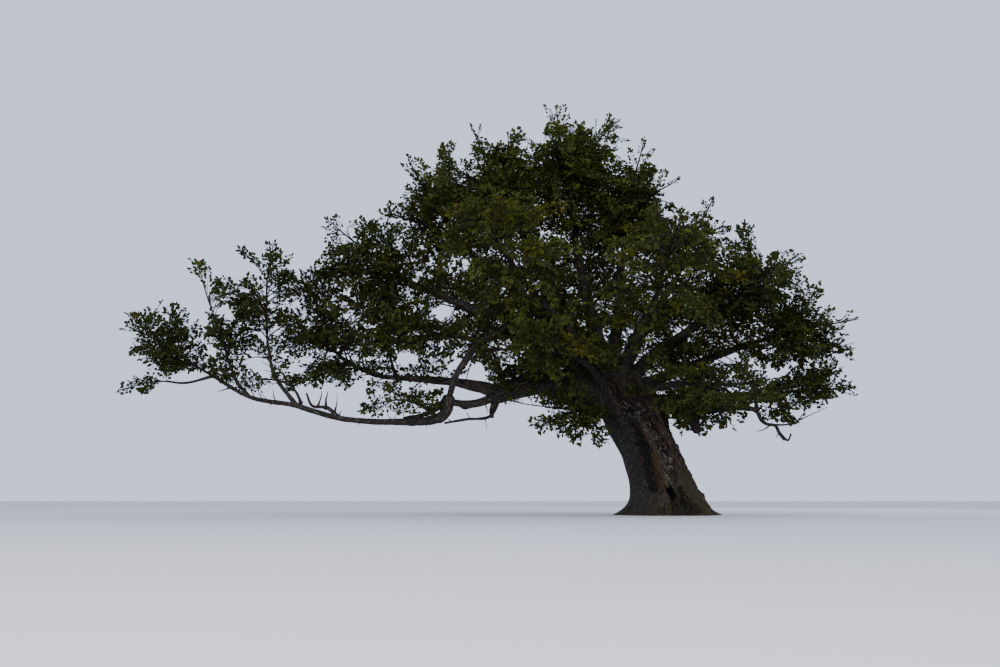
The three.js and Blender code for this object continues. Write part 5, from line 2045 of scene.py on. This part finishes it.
@dataclass(frozen=True)
class LeafShape:
    """A beech leaf's outline and fold, as shares of its length."""

    width: float = 0.34
    shoulder: float = 0.29
    fold: float = 0.08
    tip_droop: float = 0.05

    FACES = np.array([(0, 5, 4), (0, 4, 3), (0, 3, 2), (0, 2, 1)])

    def points(self) -> np.ndarray:
        """Returns the six points of the outline, (along, across, up)."""
        return np.array(
            [
                (0.00, 0.0, 0.0),
                (0.33, self.width, self.fold),
                (0.72, self.shoulder, self.fold * 0.7),
                (1.00, 0.0, -self.tip_droop),
                (0.72, -self.shoulder, self.fold * 0.7),
                (0.33, -self.width, self.fold),
            ]
        )


class Foliage:
    """All twigs and leaves: grows the masses, and joins what they grow into a few pieces."""

    PIECE_FACES = 192_000
    STEM_SHARE = 0.86
    FORK_SHARE = 0.7

    def __init__(self, limbs: dict[str, Limb], clear: Clearance) -> None:
        """Grows every mass, and the shoots along the limbs."""
        self.harvest = Harvest()
        self.names = [plan.name for plan in MASSES]
        tools = (SprayBook(), self.harvest, clear, Silhouette(Studio.camera_place))
        masses: dict[str, FoliageMass] = {}

        def add_mass(plan: MassPlan | ForkPlan, line: BentLine, at: float, radius: float) -> None:
            """Plans one mass that goes on from a share of a limb's or a stem's line."""
            foot = {"base": line.point(at), "leaving": line.heading(at)}
            masses[plan.name] = FoliageMass(*tools, plan=plan, stem_radius=radius, **foot)

        for plan in MASSES:
            limb = limbs[plan.limb]
            add_mass(plan, limb.line, 1.0, limb.plan.girth[1] * MM * self.STEM_SHARE)
        for plan in FORKS:
            mass = masses[plan.mass]
            add_mass(plan, mass.stem, plan.at, self.FORK_SHARE * mass.stem_here(plan.at))
        for mass in masses.values():
            mass.grow()
        for name, (start, sleeve, density, rise) in SHOOTS.items():
            limb = limbs[name]
            LimbShoots(*tools, limb=limb, start=start, sleeve=sleeve, density=density, rise=rise).grow()

    def leaf_pieces(self, finish: LeafFinish, material: bpy.types.Material) -> list[bpy.types.Object]:
        """Joins the leaves of one tint.

        Args:
            finish: The tint's finish.
            material: Its material.

        Returns:
            As many pieces as the leaves need.
        """
        sprays = self.harvest.leaves[finish.tint]
        roots, headings, normals = (np.vstack([spray[k] for spray in sprays]) for k in range(3))
        sizes = np.concatenate([spray[3] for spray in sprays])
        draw = draw_for(f"leaves {finish.tint.value}")
        headings = unit(headings + draw.normal(0, 0.12, headings.shape))
        normals = normals + draw.normal(0, 0.20, normals.shape)
        normals = unit(normals - headings * np.sum(normals * headings, axis=1, keepdims=True))
        sides = np.cross(normals, headings)
        shape = LeafShape().points()
        wide = draw.uniform(0.85, 1.12, len(sizes))
        along, across, above = (shape[:, k][None, :, None] for k in range(3))
        points = along * headings[:, None] + across * wide[:, None, None] * sides[:, None]
        points = roots[:, None] + (points + above * normals[:, None]) * sizes[:, None, None]
        each = self.PIECE_FACES // len(LeafShape.FACES)
        pieces = []
        total = math.ceil(len(sizes) / each)
        for k in range(total):
            some = points[k * len(sizes) // total : (k + 1) * len(sizes) // total]
            faces = repeated(LeafShape.FACES, len(shape), len(some))
            piece = joined_mesh(f"leaves_{finish.tint.value}_{k + 1}", some.reshape(-1, 3), faces, False)
            piece.data.materials.append(material)
            enrol(piece, finish.slot, self.names)
            pieces.append(piece)
        return pieces

    @staticmethod
    def tube_arrays(lines: list[tuple[np.ndarray, np.ndarray]], sides: int) -> Arrays:
        """Makes closed round tubes along lines that all have as many points.

        Args:
            lines: Each line's points, (K, 3), and radii, (K).
            sides: The sides of each tube.

        Returns:
            Vertices and triangles, and how many of each a twig has.
        """
        points = np.stack([line[0] for line in lines])
        radii = np.stack([line[1] for line in lines])
        count, length = radii.shape
        headings = unit(np.gradient(points, axis=1))
        mean = unit(points[:, -1] - points[:, 0])
        helper = np.where(np.abs(mean[:, 2:3]) < 0.8, UP, np.array([1.0, 0.2, 0.0]))
        across = unit(np.cross(headings, helper[:, None]))
        rise = np.cross(headings, across)
        turn = np.arange(sides) * FULL_TURN / sides
        ring = np.cos(turn)[:, None] * across[:, :, None] + np.sin(turn)[:, None] * rise[:, :, None]
        vertices = points[:, :, None] + ring * radii[:, :, None, None]
        faces = []
        for k in range(length - 1):
            for j in range(sides):
                a, b = k * sides + j, k * sides + (j + 1) % sides
                faces += [(a, b, b + sides), (a, b + sides, a + sides)]
        top = (length - 1) * sides
        for j in range(1, sides - 1):
            faces += [(0, j + 1, j), (top, top + j, top + j + 1)]
        every = repeated(np.array(faces), length * sides, count)
        return vertices.reshape(-1, 3), every, length * sides, len(faces)

    @staticmethod
    def cone_arrays(cones: list[tuple[np.ndarray, np.ndarray, float]]) -> Arrays:
        """Makes closed three-sided cones, the side twigs of every spray.

        Args:
            cones: Many twigs' starts and ends, and their radius.

        Returns:
            Vertices and triangles, and how many of each a twig has.
        """
        starts = np.vstack([cone[0] for cone in cones])
        ends = np.vstack([cone[1] for cone in cones])
        radius = np.concatenate([np.full(len(cone[0]), cone[2]) for cone in cones])
        headings = unit(ends - starts)
        helper = np.where(np.abs(headings[:, 2:3]) < 0.8, UP, np.array([1.0, 0.2, 0.0]))
        across = unit(np.cross(headings, helper))
        rise = np.cross(headings, across)
        corners = []
        for k in range(3):
            turn = k * FULL_TURN / 3
            corners.append(starts + (math.cos(turn) * across + math.sin(turn) * rise) * radius[:, None])
        vertices = np.stack([*corners, ends], axis=1).reshape(-1, 3)
        base = np.array([(0, 1, 3), (1, 2, 3), (2, 0, 3), (0, 2, 1)])
        return vertices, repeated(base, 4, len(starts)), 4, len(base)

    def twig_pieces(self, material: bpy.types.Material) -> list[bpy.types.Object]:
        """Joins the stems and branches, the sprays' axes, and the side twigs, each kind apart."""
        harvest = self.harvest
        kinds = [
            ("crown_stems", *self.tube_arrays(harvest.stems, 10)),
            ("crown_branches", *self.tube_arrays(harvest.branches, 4)),
            ("spray_twigs", *self.tube_arrays(harvest.axes, 3)),
            ("fine_twigs", *self.cone_arrays(harvest.cones)),
        ]
        pieces = []
        for name, vertices, faces, corners, each in kinds:
            items = len(vertices) // corners
            total = math.ceil(items * each / self.PIECE_FACES)
            for k in range(total):
                start, stop = k * items // total, (k + 1) * items // total
                places = vertices[start * corners : stop * corners]
                some = faces[start * each : stop * each] - start * corners
                piece = joined_mesh(f"{name}_{k + 1}", places, some, corners > 4)
                piece.data.materials.append(material)
                enrol(piece, "bark", self.names)
                pieces.append(piece)
        return pieces


# Stage


@dataclass
class Studio:
    """The pale floor, the soft light and the camera."""

    floor_half: float = 160.0
    camera_place: Point = (-3.234, -19.5, 0.30)
    camera_pitch: float = 9.69
    lens: float = 35.0
    clip_end: float = 600.0
    key_place: Point = (-9.0, -14.0, 12.0)
    rim_place: Point = (8.0, 12.0, 11.0)
    fill_place: Point = (-4.0, -22.0, 4.6)
    key_energy: float = 750.0
    rim_energy: float = 800.0
    fill_energy: float = 960.0
    key_size: float = 14.0
    fill_size: float = 8.0
    aim: Point = (-3.0, 0.0, 3.5)
    floor_colour: Colour = (0.62, 0.62, 0.62, 1)
    sky_colour: Colour = (0.72, 0.78, 1.0, 1)
    sky_strength: float = 1.25

    def build(self) -> None:
        """Builds the stage and makes the camera the scene's."""
        scene = bpy.context.scene
        bm = bmesh.new()
        bmesh.ops.create_grid(bm, x_segments=1, y_segments=1, size=self.floor_half)
        mesh = bpy.data.meshes.new("floor")
        bm.to_mesh(mesh)
        bm.free()
        floor = bpy.data.objects.new("floor", mesh)
        scene.collection.objects.link(floor)
        paint = bpy.data.materials.new("pale_floor")
        paint.use_nodes = True
        skin = paint.node_tree.nodes["Principled BSDF"]
        skin.inputs["Base Color"].default_value = self.floor_colour
        skin.inputs["Roughness"].default_value = 0.9
        mesh.materials.append(paint)
        world = bpy.data.worlds.new("soft_sky")
        world.use_nodes = True
        sky = world.node_tree.nodes["Background"]
        sky.inputs["Color"].default_value = self.sky_colour
        sky.inputs["Strength"].default_value = self.sky_strength
        scene.world = world
        self.light("key", self.key_place, self.key_energy, self.key_size)
        self.light("rim", self.rim_place, self.rim_energy, self.key_size)
        self.light("fill", self.fill_place, self.fill_energy, self.fill_size)
        camera = bpy.data.cameras.new("camera")
        camera.lens = self.lens
        camera.sensor_width = 36.0
        camera.clip_end = self.clip_end
        holder = bpy.data.objects.new("camera", camera)
        holder.location = self.camera_place
        holder.rotation_euler = (math.radians(90 + self.camera_pitch), 0, 0)
        scene.collection.objects.link(holder)
        scene.camera = holder

    def light(self, name: str, place: Point, energy: float, size: float) -> None:
        """Hangs one large soft light that faces the crown."""
        lamp = bpy.data.lights.new(name, "AREA")
        lamp.energy = energy
        lamp.size = size
        holder = bpy.data.objects.new(name, lamp)
        holder.location = place
        aim = Vector(self.aim) - holder.location
        holder.rotation_euler = aim.to_track_quat("-Z", "Y").to_euler()
        bpy.context.scene.collection.objects.link(holder)


def main() -> None:
    """Builds the tree round its solids."""
    logging.basicConfig(level=logging.INFO, format="%(name)s: %(message)s")
    Studio().build()
    mottle, relief = mottle_group(), bark_relief_group()
    trunk = Trunk()
    bark = trunk.build()
    bark.data.materials.append(TRUNK_BARK.make(mottle, relief))
    enrol(bark, "bark", ["trunk"])
    looks = {Wood.LIVE: LIMB_BARK.make(mottle, relief), Wood.DEAD: DEAD_BARK.make(mottle, relief)}
    limbs: dict[str, Limb] = {}
    for plan in LIMBS:
        limb = Limb(plan, limbs.get(plan.foot) if isinstance(plan.foot, str) else None)
        limbs[plan.name] = limb
        piece = limb.build()
        piece.data.materials.append(looks[plan.wood])
        enrol(piece, plan.wood.value, [plan.name])
    for growth in GROWTHS:
        piece = Limb(growth.plan()).build()
        piece.data.materials.append(looks[growth.wood])
        enrol(piece, growth.wood.value, [growth.limb])
    Snags().build(limbs).data.materials.append(looks[Wood.DEAD])
    clear = Clearance(trunk, list(limbs.values()))
    foliage = Foliage(limbs, clear)
    foliage.twig_pieces(TWIG_BARK.make(mottle, relief))
    for finish in LEAF_FINISHES:
        foliage.leaf_pieces(finish, finish.make(mottle))


if __name__ == "__main__":
    main()
